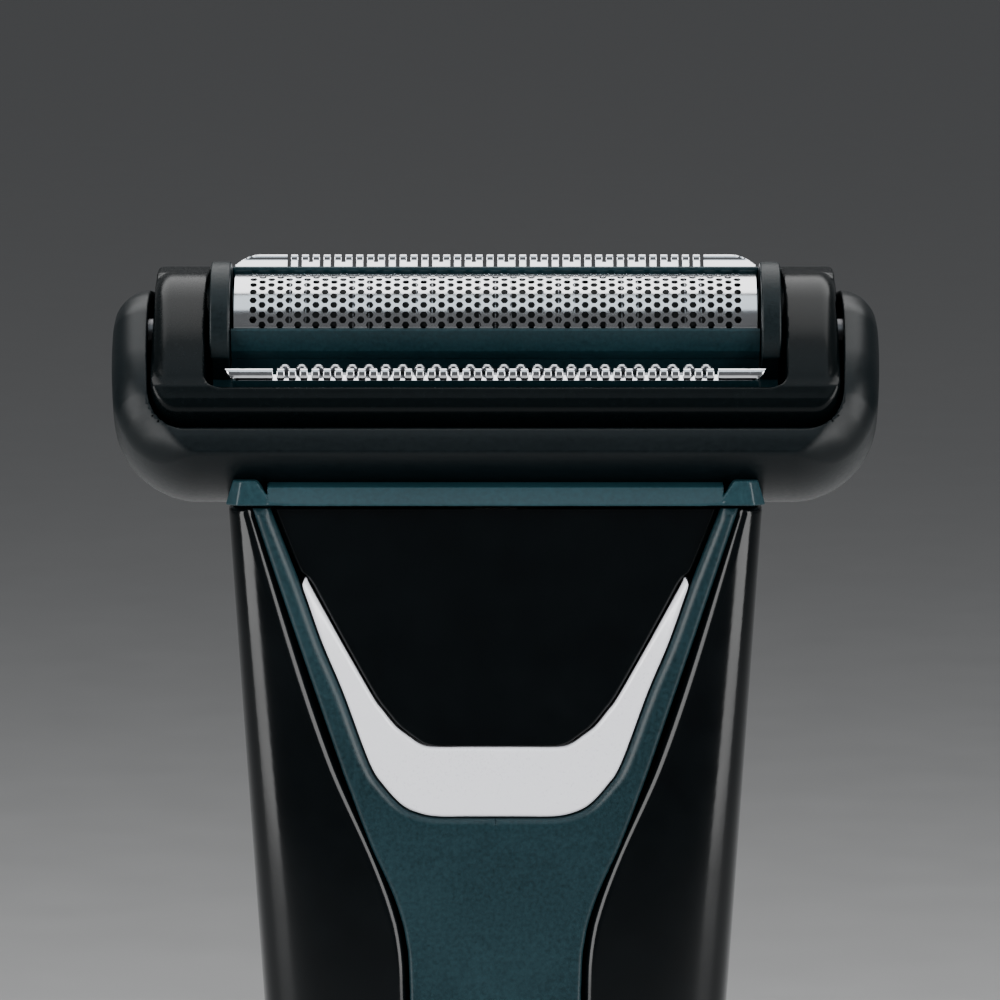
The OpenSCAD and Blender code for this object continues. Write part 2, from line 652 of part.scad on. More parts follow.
module rear_comb() color("#cfd3d6") {
    leaning() difference() {
        along(-19.1, 19.1) difference() {
            polygon([[4.7, -2], [4.7, 1.64], [4.78, 1.72], [5.86, 1.72], [5.92, 1.84], [6.05, 1.93], [6.2, 1.95], [6.34, 1.88],
                [6.48, 1.72], [6.72, 1.2], [6.86, 0.6], [6.92, 0], [6.94, -2]]);
            polygon([[5, -3], [5, 1.44], [6.1, 1.44], [6.44, 1.05], [6.58, 0.5], [6.65, -0.1], [6.67, -3]]);
        }
        for (s = [-1, 1]) translate([s * 19.2, 6.6, 2.4]) rotate([0, s * 35, 0]) cube([1.8, 2.2, 1.5], center = true);
        for (i = [-19 : 19]) translate([i * comb_pitch - comb_slot / 2, (i + 20) % 3 == 0 && i < 19 ? 5.47 : 5.06, 0])
            cube([comb_slot, 2.4, 3]);
    }
}

module cassette_screws() color("#8d9195") {
    leaning() for (s = [-1, 1], t = [-1, 1]) translate([s * 17, t * 5.2, -3.9]) {
        cylinder(h = 1.85, r = 0.53);
        difference() {
            cylinder(h = 0.68, r = 1.1);
            cube([1.4, 0.3, 0.6], center = true);
        }
    }
}

// ---- cutters ----
module cutter_carrier() color("#2c3133") {
    leaning() difference() {
        union() {
            translate([-17.8, -1.7, 1.25]) cube([35.6, 3.4, 1.05]);
            for (s = [-1, 1]) translate([s < 0 ? -2.6 : slot_h, -2.4, -4.6]) cube([2.6 - slot_h, 4.8, 5.9]);
            translate([-9.6, -1.2, -4.6]) cube([7.1, 2.4, 1.3]);
            translate([2.5, -1.2, -4.6]) cube([7.1, 2.4, 1.3]);
            for (s = [-1, 1], q = [-1, 1]) translate([s * 8 + q * 1.35 - 0.3, s > 0 ? -3.9 : 1, -4.6])
                cube([0.6, 2.9, 1.3]);
        }
        for (s = [-1, 1]) translate([s * 12, 0, 0]) cylinder(h = 1.6, r = 1.5);
    }
}

module cutter_blades() color("#d4d8da") {
    leaning() for (i = [-15 : 15]) translate([i * lamella_pitch, 0, 0]) along(-0.15, 0.15) polygon(concat(
        arc(foil_r - 0.22, 37, 143, 12), [[-2.6, 2.2], [-1.7, 2.2], [-1.7, 2.31], [1.7, 2.31], [1.7, 2.2], [2.6, 2.2]]));
}

module cutter_springs() color("#b4b8bc") {
    leaning() for (s = [-1, 1]) translate([s * 12, 0, -1.95]) coil(1.1, 0.2, 3.5, 4);
}

// Moving trimmer blade: toothed plate between y0 and y1 with an arm that reaches in to the carrier
module trimmer_blade(y0, y1, top, s) {
    difference() {
        union() {
            translate([-15.8, y0, -1.8]) cube([31.6, y1 - y0, top + 1.8]);
            translate([s * 8 - 1, y0, -4.5]) cube([2, y1 - y0, 3]);
            translate([s * 8 - 1, s > 0 ? y0 : 1.7, -4.5]) cube([2, s > 0 ? abs(y0) - 1.7 : y1 - 1.7, 0.8]);
        }
        for (i = [-12 : 12]) translate([i * blade_pitch, (y0 + y1) / 2, top]) {
            cube([0.42, 2, 1.6], center = true);
        }
        for (i = [-13 : 12], q = [-1, 1]) translate([(i + 0.5) * blade_pitch + q * 0.47, (y0 + y1) / 2, top])
            rotate([0, 45, 0]) cube([0.34, 2, 0.34], center = true);
    }
}

module front_blade() color("#c4c8cb") leaning() trimmer_blade(-6.2, -5.9, 1.56, 1);

module rear_blade() color("#c4c8cb") leaning() trimmer_blade(5.1, 5.35, 1.38, -1);

rear_shell();
rear_grip();
side_panel_left();
side_panel_right();
front_frame();
front_panel();
accent_trim();
base_cap();
base_seal();
charging_contacts();
status_light();
chassis();
top_plate();
drive_boot();
snap_latches();
motor_can();
motor_screws();
battery();
battery_tabs();
circuit_board();
tact_switch();
guide_rods();
shell_screws();
power_button();
switch_plunger();
motor_shaft();
eccentric();
drive_lever();
drive_pin();
head_collar();
head_cradle();
pivot_pins();
tilt_spring();
tilt_frame();
float_springs();
cassette_frame();
foil();
foil_cap_left();
foil_cap_right();
front_comb();
rear_comb();
cassette_screws();
cutter_carrier();
cutter_blades();
cutter_springs();
front_blade();
rear_blade();
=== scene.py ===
import json
import math

import bmesh
import bpy
import numpy as np
from mathutils import Matrix, Vector


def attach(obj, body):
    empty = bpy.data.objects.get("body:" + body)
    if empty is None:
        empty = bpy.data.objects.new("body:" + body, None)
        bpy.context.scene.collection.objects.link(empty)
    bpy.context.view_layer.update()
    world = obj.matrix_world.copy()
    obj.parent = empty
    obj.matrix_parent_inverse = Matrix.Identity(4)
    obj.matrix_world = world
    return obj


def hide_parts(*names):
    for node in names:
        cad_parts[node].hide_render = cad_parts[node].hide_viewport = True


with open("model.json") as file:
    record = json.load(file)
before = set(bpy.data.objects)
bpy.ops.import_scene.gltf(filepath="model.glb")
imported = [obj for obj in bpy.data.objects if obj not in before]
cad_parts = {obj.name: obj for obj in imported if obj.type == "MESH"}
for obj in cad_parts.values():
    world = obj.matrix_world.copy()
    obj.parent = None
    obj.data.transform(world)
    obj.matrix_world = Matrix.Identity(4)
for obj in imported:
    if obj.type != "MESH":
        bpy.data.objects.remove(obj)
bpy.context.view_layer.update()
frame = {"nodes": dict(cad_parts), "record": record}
MM = 0.001
scene = bpy.context.scene

# ---- numbers shared with the CAD, in mm
TOP = 141.8  # top edge of the handle
BASE_H = 9.0  # height of the base cap
GROOVE = 0.18  # gap between neighbouring skins
SPLIT = 3.0  # Y of the split between the side panels and the rear shell
SKIN = 1.6  # wall of the handle's skins
LEAN = math.radians(35)  # how far the head leans to the front
FOIL_C = (-2.0, 154.2)  # Y and Z of the foil's axis
DROP = 0.6  # from the foil's axis to the tilt axis, square to the shaving plane
AXIS = (FOIL_C[0] + DROP * math.sin(LEAN), FOIL_C[1] - DROP * math.cos(LEAN))
FOIL_R = 4.0
BUTTON_Y, BUTTON_Z = -9.9, 88.0
BUTTON_R = 4.6
BUTTON_PLAY = 0.15
LIGHT_Z, LIGHT_R = BUTTON_Z - 15, 0.95
GRIP_Z = (19.4, 110.6)  # lower and upper end of the rear grip
GRIP_HALF = 8.4
FRAME_EDGE = 0.32  # roundings of the front frame's outer edge and of its ends
FRAME_END = 0.3
RECESS_INNER = 124.6  # lower end of the recessed panel
COMB_END = 19.12  # half length of the rear comb

# Widths, depths and squareness of the handle's section, each by height
HALF_W = [(0, 13.6), (0.5, 14.3), (1.6, 14.9), (4, 15.2), (15, 15.3), (30, 15), (45, 14.7), (60, 14.6),
          (75, 14.95), (90, 15.8), (106, 16.97), (116, 17.65), (126, 18.33), (134, 18.87), (141.8, 19.4)]
FRONT = [(0, 10.2), (0.5, 10.9), (1.6, 11.4), (4, 11.7), (30, 12), (60, 12.3),
         (90, 12.6), (106, 12.3), (116, 12), (126, 11.5), (134, 11.1), (141.8, 10.6)]
REAR = [(0, 9.7), (0.5, 10.4), (1.6, 10.9), (4, 11.2), (30, 11.6), (60, 11.9),
        (90, 12.5), (106, 12.6), (116, 12.5), (126, 12.2), (134, 11.9), (141.8, 11.5)]
SQUARE_F = [(0, 4.5), (30, 5), (60, 5.5), (90, 7), (106, 8), (126, 10), (141.8, 12)]
SQUARE_R = [(0, 3), (60, 2.8), (106, 3), (141.8, 4.2)]


def pchip(points):
    """Smooth monotone curve through (x, y) points, as a function of x."""
    x = np.array([p[0] for p in points], float)
    y = np.array([p[1] for p in points], float)
    h = np.diff(x)
    d = np.diff(y) / h
    m = np.zeros(len(x))
    m[0], m[-1] = d[0], d[-1]
    for i in range(1, len(x) - 1):
        if d[i - 1] * d[i] > 0:
            w1, w2 = 2 * h[i] + h[i - 1], h[i] + 2 * h[i - 1]
            m[i] = (w1 + w2) / (w1 / d[i - 1] + w2 / d[i])

    def f(q):
        q = np.clip(np.asarray(q, float), x[0], x[-1])
        i = np.clip(np.searchsorted(x, q, side="right") - 1, 0, len(x) - 2)
        t = (q - x[i]) / h[i]
        t2, t3 = t * t, t * t * t
        return ((2 * t3 - 3 * t2 + 1) * y[i] + (t3 - 2 * t2 + t) * h[i] * m[i]
                + (3 * t2 - 2 * t3) * y[i + 1] + (t3 - t2) * h[i] * m[i + 1])

    return f


half_w, front_f, rear_f = pchip(HALF_W), pchip(FRONT), pchip(REAR)
square_f, square_r = pchip(SQUARE_F), pchip(SQUARE_R)

# Front edges of the handle parts, left side, X and Z from the top down
PANEL_EDGE = [(-17.97, 141.8), (-11.95, 123.4), (-8.6, 115.9), (-7.5, 112.9), (-7, 111), (-6.7, 108.3),
              (-6.6, 100), (-6.5, 60), (-7, 30), (-7.6, 9)]
TRIM_OUT = [(-13.8, 136.8), (-14.06, 136.3), (-13.7, 135.1), (-12.55, 131.9), (-11.06, 128.4),
            (-9.15, 123.3), (-8.07, 121.6), (-6.73, 120.2), (-5.38, 119.6), (-4.04, 119.4)]
TRIM_IN = [(-13.58, 136.7), (-12.25, 134.3), (-10.77, 131.6), (-8.83, 128.2), (-8.09, 127.2),
           (-7.2, 126.1), (-6.3, 125.4), (-5.42, 124.8), (-4.52, 124.6)]
# Outer edge points of the Y frame with the matching points on the recess, and lower down on the middle line
RAIL_PAIRS = [((-17.55, 141.8), (-16.3, 141.8)), ((-15.77, 136.6), (-14.25, 136.6)),
              ((-15.19, 134.9), (-13.7, 135.1)), ((-14.1, 131.7), (-12.55, 131.9)),
              ((-12.9, 128.2), (-11.06, 128.4)), ((-11.05, 122.8), (-9.15, 123.3)),
              ((-10.42, 121.1), (-8.07, 121.6)), ((-9.83, 119.5), (-6.73, 120.2)),
              ((-9.36, 118.3), (-5.38, 119.6)), ((-8.88, 117.1), (-4.04, 119.4)),
              ((-7.94, 115.1), (0, 119.4)), ((-7.27, 113.5), (0, 116.6)), ((-6.73, 111.8), (0, 113.6)),
              ((-6.47, 110.5), (0, 111.1)), ((-6.25, 108.3), (0, 108.3)), ((-6.15, 100), (0, 100)),
              ((-6.05, 60), (0, 60)), ((-6.55, 30), (0, 30)), ((-7.15, 9.2), (0, 9.2))]
CURVED_INNER = 9  # the first pairs whose inner points lie on the recess's curved edge
CLOSE_ROWS = 14  # the first pairs that need close rows


# ---- mesh helpers
def new_object(name, verts, faces, material, normals=None, angle=None):
    me = bpy.data.meshes.new(name)
    points = [tuple(v) for v in np.asarray(verts, float) * MM]
    me.from_pydata(points, [], [tuple(int(i) for i in f) for f in faces])
    me.validate()
    me.update()
    ob = bpy.data.objects.new(name, me)
    scene.collection.objects.link(ob)
    me.materials.append(material)
    me.shade_smooth()
    if normals is not None and len(normals) == len(me.vertices):
        me.normals_split_custom_set_from_vertices([tuple(v) for v in normals])
    elif angle:
        me.set_sharp_from_angle(angle=math.radians(angle))
    return ob


def fix_normals(ob):
    bm = bmesh.new()
    bm.from_mesh(ob.data)
    bmesh.ops.recalc_face_normals(bm, faces=bm.faces)
    bm.to_mesh(ob.data)
    bm.free()


def closed_object(name, verts, faces, material, angle):
    """Object with its faces turned outward and edges sharper than angle kept sharp."""
    ob = new_object(name, verts, faces, material, angle=angle)
    fix_normals(ob)
    return ob


def place(ob, body, nodes):
    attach(ob, body)
    if nodes:
        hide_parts(*nodes)


def weld(verts, faces, tol=1e-4):
    """Joins vertices at the same place and drops faces that collapse."""
    verts = np.asarray(verts, float)
    key = np.round(verts / tol).astype(np.int64)
    _, first, inv = np.unique(key, axis=0, return_index=True, return_inverse=True)
    inv = inv.reshape(-1)
    out = []
    for f in faces:
        g = []
        for i in f:
            j = inv[i]
            if not g or g[-1] != j:
                g.append(j)
        if len(g) > 1 and g[0] == g[-1]:
            g.pop()
        if len(g) > 2:
            out.append(g)
    return verts[first], out


def grid_faces(rows, cols, base=0, wrap=False):
    out = []
    for r in range(rows - 1):
        for c in range(cols if wrap else cols - 1):
            a, b = base + r * cols + c, base + r * cols + (c + 1) % cols
            out.append((a, b, b + cols, a + cols))
    return out


def tube_faces(rows, m, inward=False):
    """Faces of a closed tube made of rows of m points, with its two ends."""
    ends = [tuple(range(m)), tuple((rows - 1) * m + k for k in range(m - 1, -1, -1))]
    return grid_faces(rows, m, wrap=True) + [e[::-1] if inward else e for e in ends]


def thicken(front, back, faces):
    """Closed body from two sheets of points with the same faces."""
    n = len(front)
    verts = np.vstack([front, back])
    out = [tuple(f) for f in faces] + [tuple(i + n for i in reversed(f)) for f in faces]
    count = {}
    for f in faces:
        for a, b in zip(f, list(f[1:]) + [f[0]]):
            count[(a, b)] = count.get((a, b), 0) + 1
    for (a, b) in list(count):
        if (b, a) not in count:
            out.append((b, a, a + n, b + n))
    return verts, out


def catmull(a, b, c, d, t):
    """Point at t between b and c on the curve through four points."""
    return 0.5 * (2 * b + (c - a) * t + (2 * a - 5 * b + 4 * c - d) * t * t
                  + (3 * b - a - 3 * c + d) * t ** 3)


def with_ends(p):
    return np.vstack([2 * p[0] - p[1], p, 2 * p[-1] - p[-2]])


def smooth_line(points, step):
    """Curve through 2D points, resampled at about step."""
    p = np.array(points, float)
    ext = with_ends(p)
    out = []
    for i in range(1, len(ext) - 2):
        a, b, c, d = ext[i - 1:i + 3]
        n = max(2, int(np.linalg.norm(c - b) / step) + 1)
        out += [catmull(a, b, c, d, t) for t in np.linspace(0, 1, n, endpoint=False)]
    out.append(p[-1])
    return np.array(out)


def resample(line, n):
    line = np.asarray(line, float)
    s = np.concatenate([[0], np.cumsum(np.linalg.norm(np.diff(line, axis=0), axis=1))])
    q = np.linspace(0, s[-1], n)
    return np.stack([np.interp(q, s, line[:, k]) for k in range(line.shape[1])], 1)


def line_distance(p, line):
    """Distance of each 2D point in p from a polyline."""
    best = np.full(len(p), 1e9)
    for a, b in zip(line[:-1], line[1:]):
        ab = b - a
        t = np.clip(((p - a) @ ab) / max(ab @ ab, 1e-12), 0, 1)
        best = np.minimum(best, np.linalg.norm(p - (a + t[:, None] * ab), axis=1))
    return best


def roundover(r, *dists):
    """Depth below the surface near edges, for a rounding of radius r."""
    q = np.zeros_like(np.asarray(dists[0], float))
    for d in dists:
        q = q + np.maximum(0, r - np.asarray(d, float)) ** 2
    q = np.minimum(np.sqrt(q), r)
    return r - np.sqrt(np.maximum(0, r * r - q * q))


def on_front(x, z, off):
    """Y of the handle's front at X and Z, off mm below its surface."""
    a = half_w(z) - off
    yf, yr = -front_f(z) + off, rear_f(z) - off
    b, c, n = (yr - yf) / 2, (yr + yf) / 2, square_f(z)
    return c - b * np.maximum(0, 1 - np.minimum(1, np.abs(x) / a) ** n) ** (1 / n)


def on_rear(x, z, off):
    """Y of the handle's back at X and one height, off mm below its surface."""
    a, n = half_w(z) - off, float(square_r(z))
    yf, yb = -front_f(z) + off, rear_f(z) - off
    b, c = (yb - yf) / 2, (yb + yf) / 2
    return c + b * np.maximum(0, 1 - (np.abs(x) / a) ** n) ** (1 / n)


def ring_point(z, t, off):
    """Points of the handle's section at ring angles t, off mm inside its outline."""
    a = half_w(z) - off
    yf, yr = -front_f(z) + off, rear_f(z) - off
    b, c = (yr - yf) / 2, (yr + yf) / 2
    co, si = np.cos(t), np.sin(t)
    p = np.where(si < 0, 2 / square_f(z), 2 / square_r(z))
    return np.stack([a * np.sign(co) * np.abs(co) ** p, c + b * np.sign(si) * np.abs(si) ** p, z + 0 * t], -1)


def angle_at_x(z, x):
    """Ring angle of the front-left point at X (negative)."""
    p = 2 / square_f(z)
    return math.pi + math.acos(min(1.0, (abs(x) / float(half_w(z)))) ** (1 / float(p)))


def angle_at_y(z, y):
    """Ring angle of the left point at Y, in the rear half."""
    yf, yr = -front_f(z), rear_f(z)
    b, c, p = (yr - yf) / 2, (yr + yf) / 2, 2 / square_r(z)
    s = (y - c) / b
    a = math.asin(abs(float(s)) ** (1 / float(p)))
    return math.pi - a if s > 0 else math.pi + a


def edge_steps(length, r, n):
    """Distances from 0 to length with close steps near both ends."""
    e = np.array([0, 0.12, 0.28, 0.48, 0.72, 1.0, 1.4]) * r
    if e[-1] * 2 > length * 0.9:
        e = e * (length * 0.45 / e[-1])
    mid = np.linspace(e[-1], length - e[-1], n)
    return np.concatenate([e[:-1], mid, length - e[:-1][::-1]])


def wrap_band(name, z0, z1, a_from, a_to, n_cols, n_rows, r_side, r_end, wall, material):
    """Closed band of the handle's skin between two ring angles given by height, with rounded edges."""
    zs = z0 + edge_steps(z1 - z0, r_end, n_rows)
    front, back = [], []
    for z in zs:
        t = np.linspace(a_from(z), a_to(z), 500)
        p = ring_point(z, t, 0)
        s = np.concatenate([[0], np.cumsum(np.linalg.norm(np.diff(p, axis=0), axis=1))])
        d = edge_steps(s[-1], r_side, n_cols)
        ti = np.interp(d, s, t)
        depth = np.maximum(roundover(r_side, d, s[-1] - d),
                           roundover(r_end, np.full_like(d, z - z0), np.full_like(d, z1 - z)))
        front.append(np.array([ring_point(z, a, off) for a, off in zip(ti, depth)]))
        back.append(ring_point(z, ti, wall))
    v, f = thicken(np.vstack(front), np.vstack(back), grid_faces(len(zs), len(front[0])))
    return closed_object(name, v, f, material, 32)


def skin_patch(name, rows, depths, wall, material):
    """Closed body from rows of (X, Z) points on the handle's front, sunk by depths and wall mm thick."""
    x, z = np.vstack(rows).T
    front = np.stack([x, on_front(x, z, np.concatenate(depths)), z], 1)
    back = np.stack([x, on_front(x, z, 0) + wall, z], 1)
    v, f = thicken(front, back, grid_faces(len(rows), len(rows[0])))
    return closed_object(name, v, f, material, 40)


# ---- implicit solids
def smax(a, b, r):
    """Intersection with a rounded edge of radius r."""
    return np.minimum(np.maximum(a, b), -r) + np.sqrt(np.maximum(a + r, 0) ** 2 + np.maximum(b + r, 0) ** 2)


def smin(a, b, r):
    return -smax(-a, -b, r)


def slope_fix(f, curve, q):
    """Height above a curve turned into about a distance."""
    g = (curve(q + 0.05) - curve(q - 0.05)) / 0.1
    return f / np.sqrt(1 + g * g)


def surface(F, lo, hi, h):
    """Closed mesh of F = 0, with vertices drawn onto the surface and its own normals."""
    ax = [np.arange(lo[k], hi[k] + h, h) for k in range(3)]
    V = np.empty([len(a) for a in ax], np.float32)
    for i in range(0, len(ax[0]), 24):
        X, Y, Z = np.meshgrid(ax[0][i:i + 24], ax[1], ax[2], indexing="ij")
        V[i:i + 24] = F(X, Y, Z)
    S = V < 0
    n = [s - 1 for s in V.shape]

    def pair(axis):
        a, b = [slice(None)] * 3, [slice(None)] * 3
        a[axis], b[axis] = slice(0, -1), slice(1, None)
        return tuple(a), tuple(b), [k for k in range(3) if k != axis]

    total = np.zeros(n + [3], np.float32)
    count = np.zeros(n, np.int8)
    for axis in range(3):
        a, b, o = pair(axis)
        va, vb = V[a], V[b]
        cross = S[a] != S[b]
        t = np.where(cross, va / np.where(cross, va - vb, 1), 0)
        for d0 in (0, 1):
            for d1 in (0, 1):
                s = [slice(None)] * 3
                s[o[0]] = slice(d0, n[o[0]] + d0)
                s[o[1]] = slice(d1, n[o[1]] + d1)
                c, tt = cross[tuple(s)], t[tuple(s)]
                total[..., axis] += np.where(c, tt, 0)
                total[..., o[0]] += np.where(c, d0, 0)
                total[..., o[1]] += np.where(c, d1, 0)
                count += c
    live = count > 0
    idx = np.full(n, -1, np.int64)
    idx[live] = np.arange(live.sum())
    where = np.argwhere(live)
    P = np.array(lo) + (where + total[live] / count[live][:, None]) * h
    faces = []
    for axis in range(3):
        a, b, o = pair(axis)
        hit = np.argwhere(S[a] != S[b])
        hit = hit[((hit[:, o] > 0) & (hit[:, o] < np.array(n)[o])).all(1)]
        q = []
        for d0, d1 in ((1, 1), (0, 1), (0, 0), (1, 0)):
            c = hit.copy()
            c[:, o[0]] -= d0
            c[:, o[1]] -= d1
            q.append(idx[c[:, 0], c[:, 1], c[:, 2]])
        q = np.stack(q, 1)
        up = S[a][hit[:, 0], hit[:, 1], hit[:, 2]]
        if axis == 1:
            up = ~up
        q[~up] = q[~up][:, ::-1]
        faces.append(q)
    faces = np.vstack(faces)

    def grad(p):
        e = 0.02
        sides = [(F(*(p + d).T) - F(*(p - d).T)) for d in e * np.eye(3)]
        return np.stack(sides, 1) / (2 * e)

    for _ in range(3):
        g = grad(P)
        step = F(*P.T)[:, None] * g / np.maximum((g * g).sum(1), 0.05)[:, None]
        size = np.linalg.norm(step, axis=1, keepdims=True)
        P = P - step * np.minimum(1, 0.5 * h / np.maximum(size, 1e-9))
    g = grad(P)
    return P, faces, g / np.maximum(np.linalg.norm(g, axis=1, keepdims=True), 1e-9)


def turn_local(N):
    """Directions of the leaning head frame (X, rearward, outward) in the row frame."""
    c, s = math.cos(LEAN), math.sin(LEAN)
    return np.stack([N[:, 0], N[:, 1] * c - N[:, 2] * s, N[:, 1] * s + N[:, 2] * c], 1)


def from_local(P, origin=FOIL_C):
    """Points of the leaning head frame in the row frame."""
    c, s = math.cos(LEAN), math.sin(LEAN)
    x, u, n = np.asarray(P, float).T
    return np.stack([x, origin[0] + u * c - n * s, origin[1] + u * s + n * c], 1)


# ---- materials
def plastic(name, colour, rough, grain=900, bump=0.04, vary=0.25, rough_vary=0.08, metallic=0.0, coat=0.0,
            coat_rough=0.05, spec=0.5, stretch=(1, 1, 1), patch=60, depth=0.00002):
    """Colour that drifts over the piece, fine grain in the surface, and uneven roughness from handling."""
    m = bpy.data.materials.new(name)
    m.use_nodes = True
    N, L = m.node_tree.nodes, m.node_tree.links
    p = N["Principled BSDF"]
    co = N.new("ShaderNodeTexCoord")
    mp = N.new("ShaderNodeMapping")
    mp.inputs["Scale"].default_value = stretch
    L.new(co.outputs["Object"], mp.inputs["Vector"])

    def noise(scale, detail):
        node = N.new("ShaderNodeTexNoise")
        node.inputs["Scale"].default_value = scale
        node.inputs["Detail"].default_value = detail
        L.new(mp.outputs[0], node.inputs["Vector"])
        return node

    big, fine = noise(patch, 4), noise(grain, 3)
    fine.inputs["Roughness"].default_value = 0.6
    ramp = N.new("ShaderNodeValToRGB")
    for end, place_at, factor in ((0, 0.3, 1 - vary), (1, 0.7, 1 + vary)):
        ramp.color_ramp.elements[end].position = place_at
        ramp.color_ramp.elements[end].color = (*[min(1, max(0, c * factor)) for c in colour], 1)
    mix = N.new("ShaderNodeMath")
    mix.operation = "ADD"
    for k, (node, share) in enumerate(((big, 0.45), (fine, 0.55))):
        part = N.new("ShaderNodeMath")
        part.operation = "MULTIPLY"
        part.inputs[1].default_value = share
        L.new(node.outputs["Fac"], part.inputs[0])
        L.new(part.outputs[0], mix.inputs[k])
    L.new(mix.outputs[0], ramp.inputs["Fac"])
    L.new(ramp.outputs["Color"], p.inputs["Base Color"])
    rr = N.new("ShaderNodeMapRange")
    rr.inputs["From Min"].default_value = 0.3
    rr.inputs["From Max"].default_value = 0.7
    rr.inputs["To Min"].default_value = max(0.01, rough - rough_vary)
    rr.inputs["To Max"].default_value = min(1, rough + rough_vary)
    L.new(mix.outputs[0], rr.inputs["Value"])
    L.new(rr.outputs["Result"], p.inputs["Roughness"])
    bp = N.new("ShaderNodeBump")
    bp.inputs["Strength"].default_value = min(1, bump)
    bp.inputs["Distance"].default_value = depth
    L.new(fine.outputs["Fac"], bp.inputs["Height"])
    L.new(bp.outputs["Normal"], p.inputs["Normal"])
    p.inputs["Metallic"].default_value = metallic
    p.inputs["Coat Weight"].default_value = coat
    p.inputs["Coat Roughness"].default_value = coat_rough
    p.inputs["Specular IOR Level"].default_value = spec
    return m


# Colour, roughness and the rest of each material's look
LOOKS = {
    "gloss_black": ((0.0012, 0.002, 0.0025), 0.15,
        dict(grain=300, bump=0.02, vary=0.3, rough_vary=0.03, spec=0.3)),
    "tilt_black": ((0.0008, 0.002, 0.0024), 0.26,
        dict(grain=2500, bump=0.03, vary=0.3, rough_vary=0.04, spec=0.16)),
    # near black: painted shade for the dark seen through the foil's holes
    "carrier_black": ((0.004, 0.005, 0.0055), 0.5, dict(bump=0.1, spec=0.2)),
    "satin_teal": ((0.0045, 0.02, 0.0255), 0.38,
        dict(grain=3800, bump=0.4, vary=0.5, rough_vary=0.1, depth=0.00003, spec=0.3)),
    "soft_black": ((0.0014, 0.0036, 0.0046), 0.38,
        dict(grain=3000, bump=0.22, vary=0.35, rough_vary=0.06, spec=0.2)),
    # lighter teal than soft_black, the collar's own plastic: painted light for the lit strip along the collar and its
    # ears
    "collar_painted_light_teal": ((0.008, 0.034, 0.043), 0.36,
        dict(grain=3000, bump=0.25, vary=0.35, rough_vary=0.06, spec=0.4)),
    "shell_black": ((0.003, 0.006, 0.007), 0.42,
        dict(grain=2600, bump=0.25, vary=0.35, rough_vary=0.06, spec=0.3)),
    "rubber_black": ((0.005, 0.007, 0.008), 0.6, dict(grain=2200, bump=0.5, vary=0.3, spec=0.3)),
    "pearl_trim": ((0.93, 0.93, 0.98), 0.3,
        dict(grain=5000, bump=0.06, vary=0.03, rough_vary=0.05, metallic=0.1, coat=0.2)),
    "gold_contact": ((0.83, 0.6, 0.25), 0.22, dict(grain=4000, bump=0.05, vary=0.08, metallic=1)),
    "light_lens": ((0.7, 0.86, 0.95), 0.3, dict(grain=2500, bump=0.1, vary=0.1, coat=0.4)),
    "chassis_grey": ((0.16, 0.17, 0.18), 0.5, dict(bump=0.15, vary=0.15)),
    "motor_steel": ((0.56, 0.57, 0.6), 0.3,
        dict(stretch=(1, 1, 0.05), grain=2500, bump=0.08, metallic=1, vary=0.12)),
    "screw_steel": ((0.5, 0.51, 0.53), 0.33, dict(grain=3000, bump=0.1, metallic=1, vary=0.15)),
    "battery_wrap": ((0.05, 0.2, 0.26), 0.25, dict(grain=200, bump=0.1, vary=0.1, coat=0.3)),
    "nickel_tab": ((0.66, 0.64, 0.6), 0.28, dict(grain=3000, bump=0.06, metallic=1, vary=0.1)),
    "board_green": ((0.02, 0.14, 0.05), 0.3, dict(grain=1500, bump=0.1, vary=0.3, coat=0.3)),
    "switch_black": ((0.03, 0.03, 0.035), 0.45, dict(bump=0.1)),
    # very dark steel: painted shade for the gap between cradle and tilt frame where the pivot pins show
    "pin_steel": ((0.1, 0.1, 0.105), 0.35,
        dict(stretch=(0.1, 1, 1), grain=3000, bump=0.05, metallic=1, vary=0.1)),
    "button_teal": ((0.007, 0.022, 0.027), 0.3, dict(grain=3500, bump=0.2, vary=0.35)),
    "nylon_white": ((0.72, 0.7, 0.64), 0.45, dict(grain=1500, bump=0.1, vary=0.06)),
    "spring_steel": ((0.55, 0.56, 0.58), 0.3, dict(grain=3000, bump=0.05, metallic=1, vary=0.1)),
    "foil_steel": ((0.8, 0.81, 0.83), 0.16,
        dict(stretch=(0.15, 1, 1), grain=2500, bump=0.06, metallic=1, vary=0.06, rough_vary=0.05)),
    "cap_black": ((0.002, 0.006, 0.0075), 0.42,
        dict(grain=4200, bump=0.5, vary=0.5, rough_vary=0.08, depth=0.00003, spec=0.25)),
    "comb_steel": ((0.78, 0.79, 0.82), 0.14,
        dict(stretch=(0.2, 1, 1), grain=2500, bump=0.05, metallic=1, vary=0.06, rough_vary=0.05)),
    "blade_steel": ((0.4, 0.41, 0.43), 0.28,
        dict(stretch=(1, 0.15, 1), grain=2500, bump=0.08, metallic=1, vary=0.12)),
}
M = {name: plastic(name, colour, rough, **more) for name, (colour, rough, more) in LOOKS.items()}
slots = {s["node"]: s["material_slot"] for s in frame["record"]["subparts"]}
for node, ob in frame["nodes"].items():
    for ms in ob.material_slots:
        ms.material = M[slots[node]]

# ---- handle skin
panel_x = pchip(sorted((z, x) for x, z in PANEL_EDGE))


def mirrored(ob, name):
    me = ob.data.copy()
    me.name = name
    me.transform(Matrix.Scale(-1, 4, (1, 0, 0)))
    me.flip_normals()
    other = bpy.data.objects.new(name, me)
    scene.collection.objects.link(other)
    return other


left = wrap_band("side_panel_left_skin", BASE_H + GROOVE, TOP, lambda z: angle_at_x(z, float(panel_x(z))),
                 lambda z: angle_at_y(z, SPLIT), 40, 130, 0.45, 0.35, SKIN, M["gloss_black"])
place(left, "handle", ["side_panel_left"])
right = mirrored(left, "side_panel_right_skin")
place(right, "handle", ["side_panel_right"])

